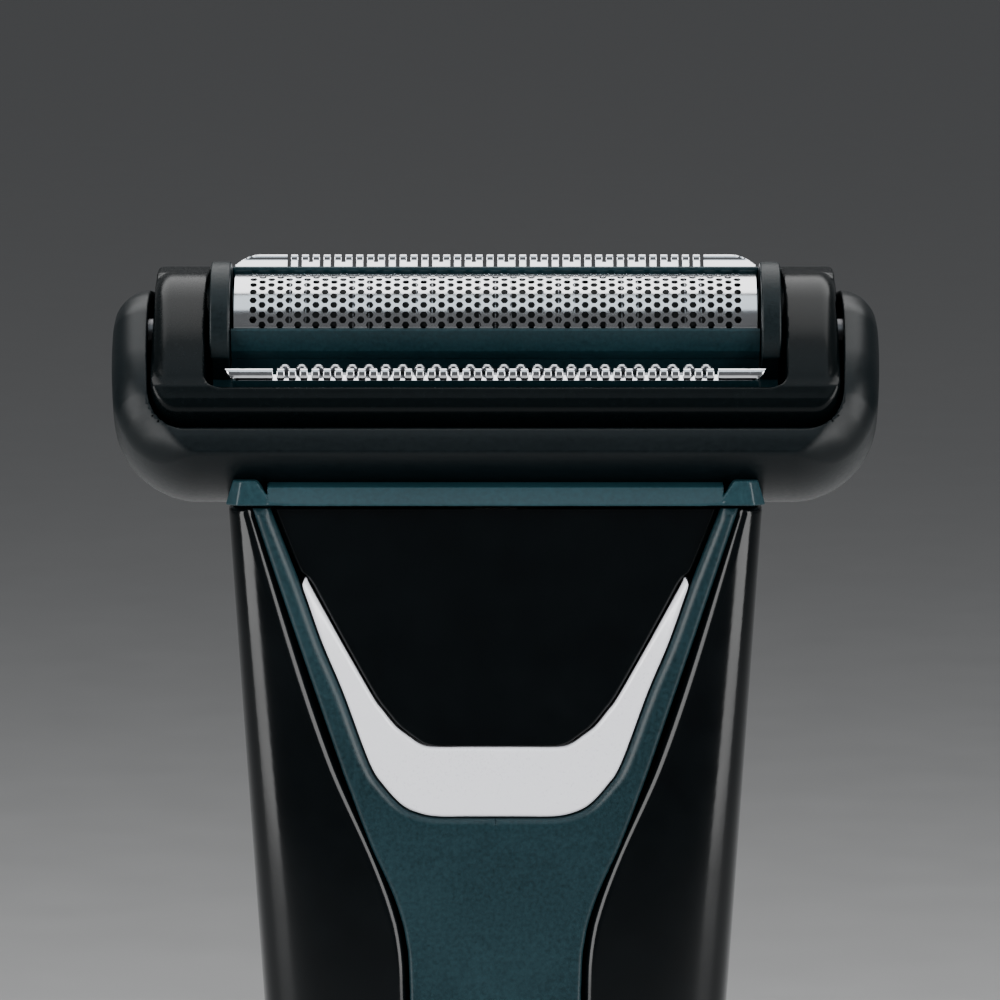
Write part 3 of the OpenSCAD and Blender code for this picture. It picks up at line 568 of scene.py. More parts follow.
rear = wrap_band("rear_shell_skin", BASE_H + GROOVE, TOP, lambda z: angle_at_y(z, SPLIT + GROOVE),
                 lambda z: math.pi - angle_at_y(z, SPLIT + GROOVE), 70, 130, 0.4, 0.35, SKIN,
                 M["shell_black"])
place(rear, "handle", ["rear_shell"])


def front_frame():
    """Y-shaped frame; each row runs from an outer edge point to its inner point, then all is mirrored."""
    outer = np.array([p[0] for p in RAIL_PAIRS], float)
    inner = np.array([p[1] for p in RAIL_PAIRS], float)
    outer_ext, inner_ext = with_ends(outer), with_ends(inner)
    O, I = [], []
    for i in range(len(outer) - 1):
        span = np.linalg.norm(outer[i + 1] - outer[i])
        n = max(3, int(max(span, np.linalg.norm(inner[i + 1] - inner[i])) / 0.4))
        if i >= CLOSE_ROWS:
            n = max(3, int(span / 1.2))
        for t in np.linspace(0, 1, n, endpoint=False):
            O.append(catmull(*outer_ext[i:i + 4], t))
            if i < CURVED_INNER:
                a, b, c, d = inner_ext[i:i + 4]
                if i == CURVED_INNER - 1:
                    d = c + (c - b) * [1, 0]
                I.append(catmull(a, b, c, d, t))
            else:
                I.append(inner[i] + (inner[i + 1] - inner[i]) * t)
    O, I = np.array(O + [outer[-1]]), np.array(I + [inner[-1]])
    recess = I[(I[:, 0] < -1e-6) | (I[:, 1] > 119.39)]
    lead = FRAME_EDGE * np.array([0, 0.05, 0.14, 0.28, 0.46, 0.7, 1, 1.4])
    tail = np.array([1, 0.8, 0.62, 0.46, 0.32, 0.2, 0.11, 0.05, 0])
    rows = []
    for o, q in zip(O, I):
        w = np.linalg.norm(q - o)
        r = min(0.95, 0.3 * w)
        d = np.concatenate([lead, np.linspace(0.45, w - 1.2 * r, 12)[1:], w - r * tail])
        rows.append(o + (q - o) * (d / w)[:, None])
    P = np.vstack(rows)
    r = np.clip(np.interp(P[:, 1], [115, 119.5, 123], [0.35, 0.6, 0.85]), 0.3, 0.85)
    sides = np.maximum(roundover(FRAME_EDGE, line_distance(P, O)), roundover(r, line_distance(P, recess)))
    depth = np.maximum(sides, roundover(FRAME_END, np.abs(P[:, 1] - TOP), np.abs(P[:, 1] - O[-1][1])))
    x, z = np.concatenate([P[:, 0], -P[:, 0]]), np.concatenate([P[:, 1], P[:, 1]])
    f = grid_faces(len(rows), len(rows[0]))
    f += [tuple(i + len(P) for i in reversed(q)) for q in f]
    front, f = weld(np.stack([x, on_front(x, z, np.concatenate([depth, depth])), z], 1), f)
    back = np.stack([front[:, 0], on_front(front[:, 0], front[:, 2], 0) + 1.7, front[:, 2]], 1)
    v, f = thicken(front, back, f)
    return closed_object("front_frame_skin", v, f, M["satin_teal"], 35)


frame_ob = front_frame()


def cut(ob, cutter):
    m = ob.modifiers.new("cut", "BOOLEAN")
    m.operation = "DIFFERENCE"
    m.solver = "EXACT"
    m.object = cutter
    bpy.context.view_layer.objects.active = ob
    deps = bpy.context.evaluated_depsgraph_get()
    me = bpy.data.meshes.new_from_object(ob.evaluated_get(deps))
    ob.modifiers.clear()
    old = ob.data
    ob.data = me
    bpy.data.meshes.remove(old)
    bpy.data.objects.remove(cutter)
    me.shade_smooth()
    me.set_sharp_from_angle(angle=math.radians(32))


def turned_body(name, profile, centre, axis, material, n=96, angle=35):
    """Body of revolution: profile of (radius, along) pairs, along the axis from centre."""
    pr = np.array(profile, float)
    t = np.linspace(0, 2 * math.pi, n, endpoint=False)
    axis = np.array(axis, float)
    u = np.array([1.0, 0, 0]) if abs(axis[0]) < 0.5 else np.array([0, 1.0, 0])
    w = np.cross(axis, u)
    circle = np.cos(t)[:, None] * u + np.sin(t)[:, None] * w
    rows = [np.array(centre) + axis * h + r * circle for r, h in pr]
    v, f = weld(np.vstack(rows), grid_faces(len(pr), n, wrap=True))
    return closed_object(name, v, f, material, angle)


for radius, z, n in ((BUTTON_R + BUTTON_PLAY, BUTTON_Z, 96), (LIGHT_R, LIGHT_Z, 40)):
    bore = [(0, -16), (radius, -16), (radius, 8), (0, 8)]
    cut(frame_ob, turned_body("hole_tool", bore, (0, 0, z), (0, 1, 0), M["satin_teal"], n=n))
place(frame_ob, "handle", ["front_frame"])


def trim():
    """U-shaped band between the frame and the recess, a little sunk and sloping inward."""
    n, gap, edge = 90, 0.12, 0.3
    o = resample(smooth_line(TRIM_OUT + [(-2, 119.4), (0, 119.4)], 0.1), n)
    q = resample(smooth_line(TRIM_IN + [(-2, RECESS_INNER), (0, RECESS_INNER)], 0.1), n)
    o = np.vstack([o, (o * [-1, 1])[::-1][1:]])
    q = np.vstack([q, (q * [-1, 1])[::-1][1:]])
    rows, depths = [], []
    for a, b in zip(o, q):
        w = np.linalg.norm(b - a)
        u = (b - a) / w
        a2, b2 = a + u * min(gap, w * 0.3), b - u * min(gap, w * 0.3)
        w = np.linalg.norm(b2 - a2)
        d = edge_steps(w, edge, 12)
        rows.append(a2 + (b2 - a2) * (d / w)[:, None])
        depths.append(0.3 + 0.4 * d / w + roundover(min(edge, w * 0.45), d, w - d))
    return skin_patch("accent_trim_skin", rows, depths, 2.2, M["pearl_trim"])


place(trim(), "handle", ["accent_trim"])


def front_panel():
    """Glossy panel at the bottom of the recess."""
    edge = smooth_line([(-16.15, 141.8), (-14.1, 136.9)] + TRIM_IN, 0.1)
    foot = np.array([0, 0.03, 0.08, 0.15, 0.25, 0.4, 0.6, 0.9, 1.3, 1.8])
    e = edge[np.argsort(edge[:, 1])]
    rows, depths = [], []
    for z in np.concatenate([124.62 + foot, np.linspace(127, 141.7, 40)]):
        x = float(np.interp(z, e[:, 1], e[:, 0])) + 0.1
        d = edge_steps(-2 * x, 0.25, 36)
        rows.append(np.stack([x + d, np.full_like(d, z)], 1))
        depths.append(1.0 + roundover(0.22, d, -2 * x - d))
    return skin_patch("front_panel_skin", rows, depths, 2.3, M["gloss_black"])


place(front_panel(), "handle", ["front_panel"])


def base_cap():
    """Cup with a rounded foot and the charging recess in its underside."""
    t = np.linspace(0, 2 * math.pi, 160, endpoint=False) + 0.01
    rim = ((0, 1.55), (0, 0.32), (0.05, 0.16), (0.16, 0.05), (0.32, 0))
    rows = [ring_point(BASE_H - down, t, off) for down, off in rim]
    side = (7.5, 6, 4.5, 3.2, 2.4, 1.8, 1.35, 1.0, 0.72, 0.5, 0.32, 0.18, 0.08, 0.02, 0.0)
    rows += [ring_point(z, t, 0) for z in side]
    outline = rows[-1]
    r = np.hypot(outline[:, 0], outline[:, 1])
    ang = np.arctan2(outline[:, 1], outline[:, 0])

    def ring(radius, z):
        return np.stack([radius * np.cos(ang), radius * np.sin(ang), np.full_like(ang, z)], 1)

    rows += [ring(5.5 + (r - 5.5) * k, 0) for k in (0.85, 0.6, 0.3)]
    recess = ((5.45, 0), (5.3, 0.04), (5.12, 0.14), (5.03, 0.3), (5.02, 1.9), (4.95, 1.98), (4.8, 2.0),
              (0, 2.0))
    rows += [ring(radius, z) for radius, z in recess]
    rows += [ring(0, 2.6), ring_point(2.6, t, 1.6), ring_point(BASE_H, t, 1.55)]
    v, f = weld(np.vstack(rows), grid_faces(len(rows), len(t), wrap=True))
    return closed_object("base_cap_skin", v, f, M["shell_black"], 32)


place(base_cap(), "handle", ["base_cap"])


def grip():
    """Pad on the rear shell with rounded edges and a column of short dished ribs."""
    z0, z1 = GRIP_Z
    ribs = np.arange(26, 105, 6.0)
    zs = z0 + edge_steps(z1 - z0, 0.5, 260)
    xs = -GRIP_HALF + edge_steps(2 * GRIP_HALF, 0.5, 44)
    front, back = [], []
    for z in zs:
        level = np.full_like(xs, z)
        d = np.maximum(roundover(0.45, xs + GRIP_HALF, GRIP_HALF - xs),
                       roundover(0.45, level - z0, z1 - level))
        rib = 0.5 * np.clip((1.1 - np.abs(ribs - z).min()) / 0.35, 0, 1)
        dish = rib * np.clip((6.3 - np.abs(xs)) / 0.5, 0, 1)
        front.append(np.stack([xs, on_rear(xs, z, -0.33 + d * 1.6 + dish), level], 1))
        back.append(np.stack([xs, on_rear(xs, z, np.full_like(xs, 0.6)), level], 1))
    v, f = thicken(np.vstack(front), np.vstack(back), grid_faces(len(zs), len(xs)))
    return closed_object("rear_grip_pad", v, f, M["rubber_black"], 45)


place(grip(), "handle", ["rear_grip"])

# button: dished cap with a rounded rim, and its flange
button = turned_body("power_button_cap", [
    (0, 0.18), (BUTTON_R + 0.85, 0.18), (BUTTON_R + 0.9, 0.12), (BUTTON_R + 0.88, -0.22), (BUTTON_R, -0.25),
    (BUTTON_R, -2.45), (BUTTON_R - 0.06, -2.68), (BUTTON_R - 0.22, -2.83), (BUTTON_R - 0.42, -2.88),
    (BUTTON_R - 0.62, -2.85), (BUTTON_R - 0.95, -2.75), (2.6, -2.61), (1.3, -2.51), (0, -2.47)],
    (0, BUTTON_Y, BUTTON_Z), (0, 1, 0), M["button_teal"])
place(button, "button", ["power_button"])

# ---- head solids
CRADLE_DROP = 0.4  # the cradle's outer skin is turned about a line this far below the tilt axis
CRADLE_R, CRADLE_HALF, CRADLE_BORE = 11.84, 28.04, 10.3
TILT_R, TILT_HALF = 9.33, 24.95
COLLAR_Z = 142.04  # underside of the collar
CAP_X = 20.03  # middle of a foil cap
# Height of the cradle's rim by place from front to rear
RIM = pchip([(-16, -3), (-12.5, -1.4), (-11, -0.4), (-10.25, 0), (-9.2, 0.7), (-8, 1.35), (-4, 2.15),
             (0, 2.2), (2.5, 1.6), (4.5, 0.5), (6.5, -1.2), (8.5, -2.9), (10.55, -4.83), (16, -10)])


def cradle_f(x, u, n):
    """Tub with round ends that the tilting frame sits in."""
    rho = np.sqrt(u * u + n * n)
    ax = np.abs(x)
    cu, cn = -CRADLE_DROP * math.sin(LEAN), -CRADLE_DROP * math.cos(LEAN)
    q = np.sqrt((u - cu) ** 2 + (n - cn) ** 2)
    out = smax(ax - CRADLE_HALF + 0.006 * q * q, q - CRADLE_R, 5.5)
    inn = smax(ax - (25.4 - 0.004 * rho * rho), rho - CRADLE_BORE, 2.4)
    t = np.clip((ax - 21.5) / 4, 0, 1)
    body = smax(out, slope_fix(n - RIM(u), RIM, u), 0.22 + 2.3 * t * t * (3 - 2 * t))
    body = smax(body, -inn, 0.2)
    # opening for the drive pin and the flat seat on the collar, both square to the handle
    c, s = math.cos(LEAN), math.sin(LEAN)
    y, z = u * c - n * s, u * s + n * c
    slot = smax(np.maximum(ax - 4.4, np.abs(y) - 3.2), z + 6, 0.2)
    body = np.maximum(body, -np.maximum(ax - 19.2, z + AXIS[1] - 142.62))
    return smax(body, -slot, 0.2)


P, F_, N_ = surface(cradle_f, (-28.6, -12.7, -12.7), (28.6, 12.5, 3.2), 0.2)
cradle = new_object("head_cradle_tub", from_local(P, AXIS), F_, M["soft_black"], normals=turn_local(N_))
place(cradle, "head", ["head_cradle"])


def straight(points):
    """Straight lines through (x, y) points, as a function of x."""
    return lambda q: np.interp(q, [p[0] for p in points], [p[1] for p in points])


# Height of the tilting frame's lip by place from front to rear
LIP = straight([(-12, -2), (-9.3, 0.2), (-8.7, 0.7), (-7.9, 1.17), (-6, 1.2), (5.4, 0.9), (6, 0.5),
                (7.9, -0.6), (8.8, -1.3), (9.35, -2.3), (12, -6)])


def tilt_f(x, u, n):
    """Frame turned about the tilt axis, with a pocket for the cassette and an oval shoulder at each end."""
    m = n + DROP
    rho = np.sqrt(u * u + m * m)
    ax = np.abs(x)
    body = smax(smax(ax - TILT_HALF, rho - TILT_R, 2.0), slope_fix(n - LIP(u), LIP, u), 0.2)
    # shoulders
    a, b = np.where(u < 0, 8.9, 6.0), 3.4
    k = np.sqrt((u / a) ** 2 + (m / b) ** 2)
    oval = (k - 1) * k / np.sqrt((u / a ** 2) ** 2 + (m / b ** 2) ** 2 + 1e-9)
    body = smin(body, np.maximum(smax(oval, ax - TILT_HALF, 1.3), -(n + 1)), 0.25)
    pocket = np.maximum(smax(ax - 21.1, np.abs(u) - 7.9, 1.2), np.where(m < 0, rho - 8.6, -1))
    body = smax(body, -pocket, 0.2)
    # pivot bores, and the counterbore for the tilt spring
    body = np.maximum(body, 1.25 - rho)
    body = np.maximum(body, -np.maximum(rho - 2.5, 23.1 - x))
    # window in the floor for the drive pin
    turn = np.abs(np.arctan2(-u, -m) - LEAN) - math.radians(24.5)
    return np.maximum(body, -np.maximum(np.maximum(ax - 3.4, turn * rho), 3 - rho))


P, F_, N_ = surface(tilt_f, (-25.3, -9.8, -10.6), (25.3, 9.8, 3.4), 0.18)
tilt = new_object("tilt_frame_shell", from_local(P), F_, M["tilt_black"], normals=turn_local(N_))
place(tilt, "tilt", ["tilt_frame"])

# Height of the collar's top by Y
COLLAR = straight([(-11.2, 141.1), (-10.5, 142.1), (-9.65, 143.35), (-7, 143.9), (6, 146.4), (9.9, 148.3),
                   (10.8, 147.8), (12, 146.4)])


def outline_f(x, y, off):
    """About the distance from the handle's top outline, drawn in by off."""
    a, yf, yr = 19.4 - off, -10.6 + off, 11.5 - off
    b, c = (yr - yf) / 2, (yr + yf) / 2
    n = np.where(y < c, 12.0, 4.2)
    ax, ay = np.abs(x) / a, np.abs(y - c) / b
    k = (ax ** n + ay ** n) ** (1 / n)
    g = np.sqrt((ax ** (n - 1) / a) ** 2 + (ay ** (n - 1) / b) ** 2) * np.maximum(k, 0.3) ** (1 - n)
    return (k - 1) / np.maximum(g, 0.02)


def collar_f(x, y, z):
    """Collar between handle and cradle: a block, two ears and the thin plate they stand on."""
    ax = np.abs(x)
    h = z - COLLAR_Z
    block = smax(outline_f(x, y, 0.05), np.maximum(slope_fix(z - COLLAR(y), COLLAR, y), ax - 16.5), 0.12)
    # hipped ears at the front corners: inner, outer, front and corner facets
    ear = smax((ax - 19.5 + 0.3 * h) * 0.958, (16.0 - ax + 0.72 * h) * 0.81, 0.08)
    ear = smax(ear, (-10.42 - y + 0.35 * h) * 0.944, 0.08)
    ear = smax(ear, (ax * 0.74 - y * 0.67 - 20.82 + 0.36 * h) * 0.97, 0.08)
    ear = smax(ear, z - 143.8, 0.1)
    ear = np.maximum(ear, y - 2)
    body = np.minimum(block, ear)
    rho = np.sqrt((y - AXIS[0]) ** 2 + (z - AXIS[1] + CRADLE_DROP) ** 2)
    body = np.maximum(body, 11.87 - rho)
    plate = smax(outline_f(x, y, 0.08), np.maximum(z - 142.59, (h - 1.54 * (y + 10.5)) * 0.54), 0.06)
    plate = np.maximum(plate, np.minimum(np.minimum(ax - 16, -2 - y), z - 142.1))
    body = smin(body, plate, 0.04)
    body = np.maximum(body, 5.3 - np.hypot(x, y - AXIS[0]))
    return smax(body, 142.02 - z, 0.1)


P, F_, N_ = surface(collar_f, (-19.9, -11.1, 141.6), (19.9, 12, 149), 0.16)
# the collar wears the lighter teal look, which is painted light, not a different plastic
collar = new_object("head_collar_shell", P, F_, M["collar_painted_light_teal"], normals=N_)
place(collar, "head", ["head_collar"])


def cap_f(x, u, n):
    """End cap of the foil: an arch on a square foot."""
    rho = np.hypot(u, n)
    arch = smax(rho - 4.9, 0.95 - n, 0.25)
    foot = np.maximum(np.abs(u) - 3.5, np.maximum(n - 1.5, -1.98 - n))
    return smax(np.minimum(arch, foot), np.abs(x - CAP_X) - 0.72, 0.16)


P, F_, N_ = surface(cap_f, (19.1, -5.2, -2.3), (21, 5.2, 5.2), 0.13)
for name, node, side in (("foil_cap_right_cover", "foil_cap_right", 1),
                         ("foil_cap_left_cover", "foil_cap_left", -1)):
    flip = [side, 1, 1]
    cap = new_object(name, from_local(P * flip), F_[:, ::side], M["cap_black"], normals=turn_local(N_ * flip))
    place(cap, "cassette", [node])


# ---- foil
def foil():
    """Thin arc with a field of staggered six-sided holes, plain margins and straight skirts."""
    R, t, half, hole = FOIL_R, 0.07, 19.0, 0.262
    pitch_x, pitch_s = 0.6525, 0.7605  # along X and round the arc
    end = R * math.radians(51)
    cols, rows = 55, 9
    x0 = -cols * pitch_x / 2
    mid = R * math.radians(2.3)
    low = mid - 5 * pitch_s
    high = mid + 4.5 * pitch_s
    ring = []
    for k in range(12):
        a = math.radians(30 * k)
        flat = math.radians((30 * k) % 60 - 30)
        hexagon = hole * math.cos(math.radians(30)) / math.cos(flat) * 1.07
        r = 0.6 * hexagon + 0.4 * hole
        ring.append((r * math.cos(a), r * math.sin(a)))
    verts, faces = [], []

    def quad(xa, xb, sa, sb):
        base = len(verts)
        verts.extend([(xa, sa), (xb, sa), (xb, sb), (xa, sb)])
        faces.append((base, base + 1, base + 2, base + 3))

    hx, hs = pitch_x / 2, pitch_s / 2
    for c in range(cols):
        cx = x0 + (c + 0.5) * pitch_x
        first = mid - 4 * pitch_s - (hs if c % 2 else 0)
        for r in range(rows):
            cs = first + r * pitch_s
            outer = [(hx, 0), (hx, hs / 2), (hx, hs), (0, hs), (-hx, hs), (-hx, hs / 2),
                     (-hx, 0), (-hx, -hs / 2), (-hx, -hs), (0, -hs), (hx, -hs), (hx, -hs / 2)]
            base = len(verts)
            verts.extend([(cx + p, cs + q) for p, q in outer] + [(cx + p, cs + q) for p, q in ring])
            for k in range(12):
                j = (k + 1) % 12
                faces.append((base + k, base + j, base + 12 + j, base + 12 + k))
        a = first + (rows - 0.5) * pitch_s if c % 2 else low
        for xa, xb in ((cx - hx, cx), (cx, cx + hx)):
            for k in (0, 1):
                quad(xa, xb, a + k * hs / 2, a + (k + 1) * hs / 2)
    xe = -x0
    ss = [low + k * hs / 2 for k in range(int(round((high - low) / (hs / 2))) + 1)]
    for a, b in ((-half, x0), (xe, half)):
        xs = np.linspace(a, b, 6)
        for i in range(5):
            for k in range(len(ss) - 1):
                quad(xs[i], xs[i + 1], ss[k], ss[k + 1])
    xs = [*np.linspace(-half, x0, 6), *[x0 + k * hx for k in range(2 * cols + 1)], *np.linspace(xe, half, 6)]
    xs = sorted(set(round(v, 5) for v in xs))
    bands = ((-end - 3.4, -end - 1.2), (-end - 1.2, low), (high, end + 0.02), (end + 0.02, end + 1.4),
             (end + 1.4, end + 3.4))
    for i in range(len(xs) - 1):
        for a, b in bands:
            quad(xs[i], xs[i + 1], a, b)
    flat = np.array(verts, float)
    key, faces2 = weld(np.column_stack([flat, np.zeros(len(flat))]), faces, 1e-3)

    def bend(p, r):
        th = np.clip(p[:, 1] / R, -end / R, end / R)
        over = np.abs(p[:, 1]) - end
        return np.stack([p[:, 0], r * np.sin(th), r * np.cos(th) - np.maximum(over, 0)], 1)

    v, f = thicken(bend(key, R - 0.01), bend(key, R - 0.01 - t), faces2)
    return closed_object("foil_sheet", from_local(v), f, M["foil_steel"], 38)


place(foil(), "cassette", ["foil"])


def lamellae():
    """Thin arched cutter blades standing on the carrier, each with a bevelled edge."""
    arc = [math.radians(a) for a in np.linspace(37, 143, 25)]
    verts, faces = [], []
    for i in range(-15, 16):
        base = len(verts)
        rings = ((3.74, -0.03), (3.74, 0.03), (3.62, 0.06), (2.95, 0.06), (2.95, -0.06), (3.62, -0.06))
        for r, dx in rings:
            verts.extend([(1.15 * i + dx, r * math.cos(a), r * math.sin(a)) for a in arc])
        n = len(arc)
        for k in range(6):
            j = (k + 1) % 6
            for q in range(n - 1):
                faces.append((base + k * n + q, base + k * n + q + 1, base + j * n + q + 1, base + j * n + q))
        for q in (0, n - 1):
            faces.append(tuple(base + k * n + q for k in range(6)))
    return closed_object("cutter_lamellae", from_local(verts), faces, M["blade_steel"], 30)


place(lamellae(), "cutter", ["cutter_blades"])

# dark drum that the lamellae stand in: a dark body put in as painted shade inside the foil, seen through its holes,
# with no CAD node of its own
shade_drum = [(3.25 * math.cos(math.radians(a)), 3.25 * math.sin(math.radians(a)))
        for a in np.linspace(42, 138, 25)]
shade_drum = [(-2.3, 2.05)] + shade_drum[::-1] + [(2.3, 2.05)]
small = [(0.98 * u, 0.98 * n + 0.04) for u, n in shade_drum]
rings = ((-17.6, small), (-17.5, shade_drum), (17.5, shade_drum), (17.6, small))
verts = [(x, u, n) for x, ring in rings for u, n in ring]
shade_drum_ob = closed_object("cutter_shade_drum", from_local(verts), tube_faces(4, len(shade_drum)), M["carrier_black"], 30)
place(shade_drum_ob, "cutter", [])


# ---- combs
def line_normals(p):
    """Unit normals of a (rearward, outward) line."""
    t = np.gradient(p, axis=0)
    t /= np.linalg.norm(t, axis=1, keepdims=True)
    return np.stack([t[:, 1], -t[:, 0]], 1)


def sweep(path, thick, x0, x1, r):
    """Strip along a (rearward, outward) path, from x0 to x1, with rounded long edges."""
    p = np.array(path, float)
    nrm = line_normals(p)
    y, low = thick / 2 - r, -thick / 2 + r
    sec = []
    for cx, cy, a0 in ((x1 - r, y, 0), (x0 + r, y, 90), (x0 + r, low, 180), (x1 - r, low, 270)):
        for k in range(4):
            a = math.radians(a0 + 30 * k)
            sec.append((cx + r * math.cos(a), cy + r * math.sin(a)))
    verts = [(sx, *(p[i] + nrm[i] * sd)) for i in range(len(p)) for sx, sd in sec]
    return verts, tube_faces(len(p), len(sec), inward=True)


def join(parts):
    verts, faces = [], []
    for v, f in parts:
        base = len(verts)
        verts.extend(v)
        faces.extend([tuple(base + i for i in q) for q in f])
    return verts, faces


def arc2(cx, cy, r, a0, a1, n):
    angles = [math.radians(a0 + (a1 - a0) * k / n) for k in range(n + 1)]
    return [(cx + r * math.cos(a), cy + r * math.sin(a)) for a in angles]


SIGHT = (0.656, 0.755)  # direction square to the sight line over the head, in (rearward, outward)


def end_loops(section, thick, xs, limit):
    """Closed strip along X whose section is pressed down to limit(x), measured along SIGHT."""
    p = np.array(section, float)
    nrm = line_normals(p)
    loop = np.vstack([p - nrm * thick / 2, (p + nrm * thick / 2)[::-1]])
    verts = []
    for x in xs:
        q = loop.copy()
        q[:, 1] -= np.maximum(0, SIGHT[0] * q[:, 0] + SIGHT[1] * q[:, 1] - limit(abs(x))) / SIGHT[1]
        verts.extend([(x, a, b) for a, b in q])
    return verts, tube_faces(len(xs), len(loop))


def rear_comb():
    """Bent strip with a flat crown and a raised, rounded lip; two long slots to each short one."""
    th, pitch, slot = 0.26, 0.8, 0.25
    bend = [(4.83, 1.2), (4.83, 1.42), (4.85, 1.5), (4.89, 1.56), (4.95, 1.59)]
    lip = [(5.02, 1.59), (5.3, 1.59), (5.6, 1.59), (5.8, 1.592), (5.88, 1.61), (5.95, 1.66), (6.02, 1.73),
           (6.09, 1.785), (6.16, 1.8), (6.24, 1.77), (6.34, 1.68), (6.46, 1.46), (6.6, 1.05), (6.72, 0.55),
           (6.78, 0)]
    front_wall = [(4.83, -1.95), (4.83, -0.8), (4.83, 0.5)] + bend + [(5.04, 1.59)]
    rear_wall = [(6.78, 0.06), (6.8, -0.6), (6.81, -1.95)]
    parts = [sweep(line, th, -COMB_END, COMB_END, 0.04) for line in (front_wall, rear_wall)]
    for i in range(-19, 19):
        parts.append(sweep(lip, th - 0.006, i * pitch + slot / 2, (i + 1) * pitch - slot / 2, 0.07))
        if (i + 20) % 3 == 0:
            bridge = lip[:3] + [(5.47, 1.59)]
            x0, x1 = i * pitch - slot / 2 - 0.08, i * pitch + slot / 2 + 0.08
            parts.append(sweep(bridge, th - 0.012, x0, x1, 0.02))
    half = 19 * pitch + slot / 2

    def limit(x):
        return 5.56 - 0.74 * max(0, (x - 17.2) / 1.92) ** 1.9 - (0.03 if x < half + 0.02 else 0)

    for side in (-1, 1):
        xs = [side * x for x in [half, half + 0.05] + list(np.linspace(half + 0.2, COMB_END, 26))]
        parts.append(end_loops(lip, th - 0.004, xs, limit))
    v, f = join(parts)
    return closed_object("rear_comb_teeth", from_local(v), f, M["comb_steel"], 42)


place(rear_comb(), "cassette", ["rear_comb"])


def front_comb():
    """Folded nose with slots cut through its upper edge and ends cut back below like a bow."""
    pitch, slot = 0.84, 0.27
    nose = np.array([(-6.42, 1.2), (-6.42, 1.5)] + arc2(-6.5, 1.52, 0.08, 0, 90, 3)
                    + [(-6.62, 1.59), (-6.74, 1.55), (-6.86, 1.46), (-6.95, 1.34), (-7.02, 1.2),
                       (-7.055, 1.05), (-7.04, 0.93), (-6.98, 0.85), (-6.88, 0.82), (-6.5, 0.82), (-6.5, 1.1)], float)

    def piece(x0, x1, r, line=nose):
        """The nose from x0 to x1, drawn in towards its middle at both ends."""
        d = line - line.mean(0)
        ln = np.linalg.norm(d, axis=1, keepdims=True)
        q = 0.35 * r
        verts = []
        for x, depth in ((x0, r), (x0 + q, q), (x0 + r, 0), (x1 - r, 0), (x1 - q, q), (x1, r)):
            verts.extend([(x, a, b) for a, b in line - d / ln * depth * 0.8])
        return verts, tube_faces(6, len(line))

    low = nose.copy()
    low[:, 1] = np.minimum(low[:, 1], 0.97)
    parts = [piece(-18.6, 18.6, 0.03, low)]
    parts += [piece(i * pitch + slot / 2, (i + 1) * pitch - slot / 2, 0.07) for i in range(-19, 19)]
    half = 19 * pitch + slot / 2
    steps = [18.45, 18.6, 18.75, 18.9, 19.05, 19.2, 19.35, 19.48, 19.55]
    for side in (-1, 1):
        a, b = sorted((side * half, side * 18.5))
        parts.append(piece(a, b, 0.04))
        verts = []
        for x in steps:
            p = nose.copy()
            p[:, 1] = np.maximum(p[:, 1], 0.82 + 0.66 * (max(0, x - 18.6) / 0.95) ** 0.8)
            p[:, 0] = np.maximum(p[:, 0], -7.06 + 0.5 * max(0, (x - 19.0) / 0.55) ** 2)
            verts.extend([(side * x, a, b) for a, b in p])
        parts.append((verts, tube_faces(len(steps), len(nose))))
    v, f = join(parts)
    return closed_object("front_comb_teeth", from_local(v), f, M["comb_steel"], 42)


place(front_comb(), "cassette", ["front_comb"])


def box(low, high):
    v = [(x, u, n) for x in (low[0], high[0]) for u in (low[1], high[1]) for n in (low[2], high[2])]
    return v, [(0, 1, 3, 2), (4, 6, 7, 5), (0, 4, 5, 1), (2, 3, 7, 6), (0, 2, 6, 4), (1, 5, 7, 3)]


def trimmer(name, y0, y1, top, side, material):
    """Toothed plate with round-headed teeth, a rail behind them and an arm that reaches in to the carrier."""
    pitch, half, head, edge, teeth, foot = 1.22, 15.85, 0.43, 0.05, 13, -1.8
    root = top - 0.75
    outline = [(-half, foot), (-half, root)]
    for i in range(-teeth, teeth):
        c = (i + 0.5) * pitch
        tip = [(c + head * math.cos(a), top - head + head * math.sin(a)) for a in np.linspace(math.pi, 0, 11)]
        outline += [(c - head, root)] + tip + [(c + head, root)]
    pts = np.array(outline + [(half, root), (half, foot)])
    d = np.roll(pts, -1, 0) - np.roll(pts, 1, 0)
    d /= np.maximum(np.linalg.norm(d, axis=1, keepdims=True), 1e-9)
    inward = np.stack([d[:, 1], -d[:, 0]], 1)
    verts = []
    for y, q in ((y0, edge), (y0 + edge, 0), (y1 - edge, 0), (y1, edge)):
        verts.extend([(a, y, b) for a, b in pts + inward * q])
    x = side * 8
    ya, yb = (y0, -1.7) if side > 0 else (1.7, y1)
    v, f = join([(verts, tube_faces(4, len(pts))), box((x - 1, y0, -4.5), (x + 1, y1, -1.6)),
                 box((x - 1, ya, -4.5), (x + 1, yb, -3.7))])
    return closed_object(name, from_local(v), f, material, 40)


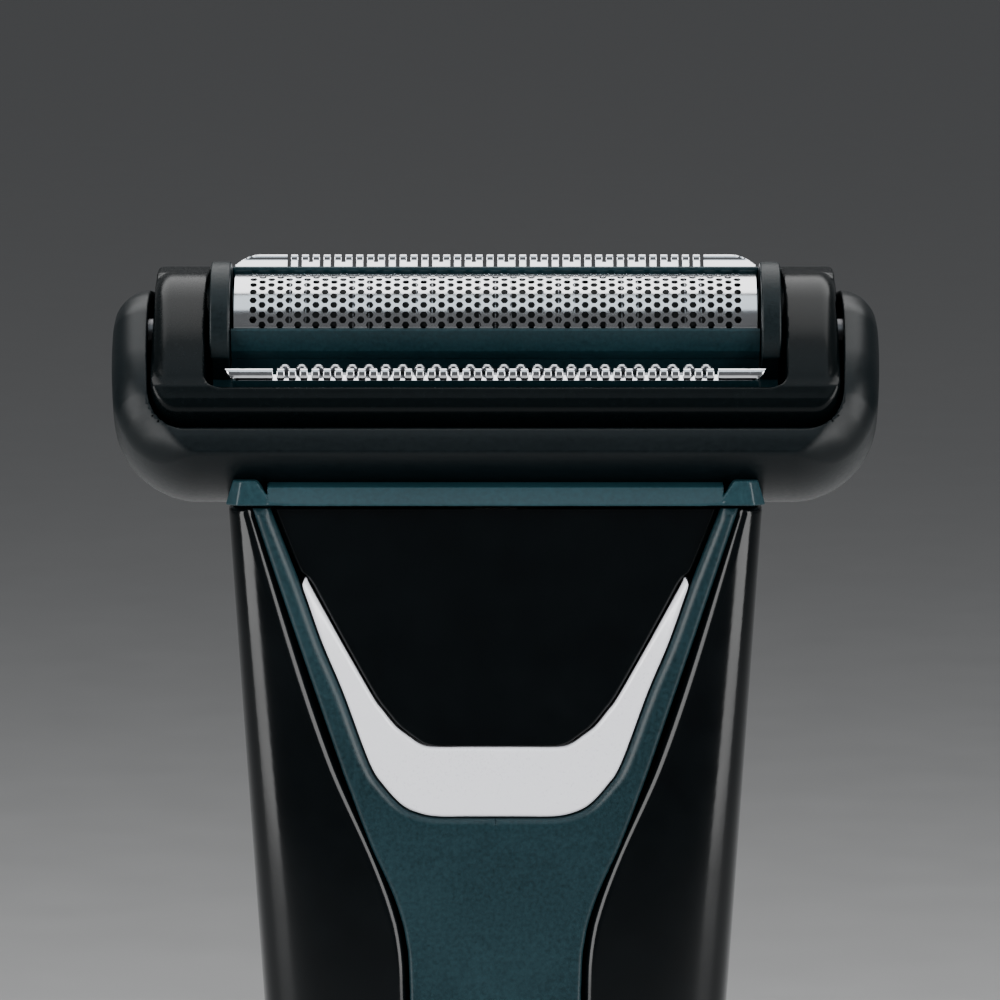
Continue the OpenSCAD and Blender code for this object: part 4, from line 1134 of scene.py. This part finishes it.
front_blade = trimmer("front_trimmer_blade", -6.2, -5.9, 1.56, 1, M["blade_steel"])
place(front_blade, "front_trimmer", ["front_blade"])
rear_blade = trimmer("rear_trimmer_blade", 5.1, 5.35, 1.38, -1, M["blade_steel"])
place(rear_blade, "rear_trimmer", ["rear_blade"])


# ---- floor, light, camera
me = bpy.data.meshes.new("floor")
me.from_pydata([(-4, -3, 0), (4, -3, 0), (4, 8, 0), (-4, 8, 0)], [], [(0, 1, 2, 3)])
floor = bpy.data.objects.new("floor", me)
scene.collection.objects.link(floor)
me.materials.append(plastic("floor_pale", (0.5, 0.5, 0.5), 0.75, grain=40, bump=0.02, vary=0.03))

world = bpy.data.worlds.new("studio")
scene.world = world
world.use_nodes = True
world.node_tree.nodes["Background"].inputs[0].default_value = (0.8, 0.82, 0.85, 1)
world.node_tree.nodes["Background"].inputs[1].default_value = 0.14


def area(name, at, target, size, energy, colour=(1, 1, 1)):
    d = bpy.data.lights.new(name, "AREA")
    d.shape = "RECTANGLE"
    d.size, d.size_y = size
    d.energy = energy
    d.color = colour
    o = bpy.data.objects.new(name, d)
    scene.collection.objects.link(o)
    o.location = Vector(at)
    o.rotation_euler = (Vector(target) - Vector(at)).to_track_quat("-Z", "Y").to_euler()


head = (0, -0.002, 0.15)
area("over_box", (0, 0.2, 0.58), head, (0.7, 0.55), 3.8)
area("front_top_box", (0, -0.23, 0.57), head, (0.7, 0.3), 0.9, (0.82, 0.93, 1))
area("left_box", (-0.66, -0.42, 0.3), head, (0.5, 0.8), 9.0)
area("right_box", (0.66, -0.42, 0.3), head, (0.5, 0.8), 9.0)

cam_d = bpy.data.cameras.new("camera")
cam = bpy.data.objects.new("camera", cam_d)
scene.collection.objects.link(cam)
scene.camera = cam
SENSOR, FIELD = 36, 72.8  # width of the sensor, and of the picture at the aim, in mm
cam_d.sensor_width = SENSOR
cam_d.lens = 250
cam_d.clip_start = 0.01
cam_d.clip_end = 20
el = math.radians(6)
aim = Vector((0.33, -6, 142.0)) * MM
dist = FIELD * MM * cam_d.lens / SENSOR
cam.location = aim - Vector((0, math.cos(el), -math.sin(el))) * dist
cam.rotation_euler = (math.radians(90) - el, 0, 0)
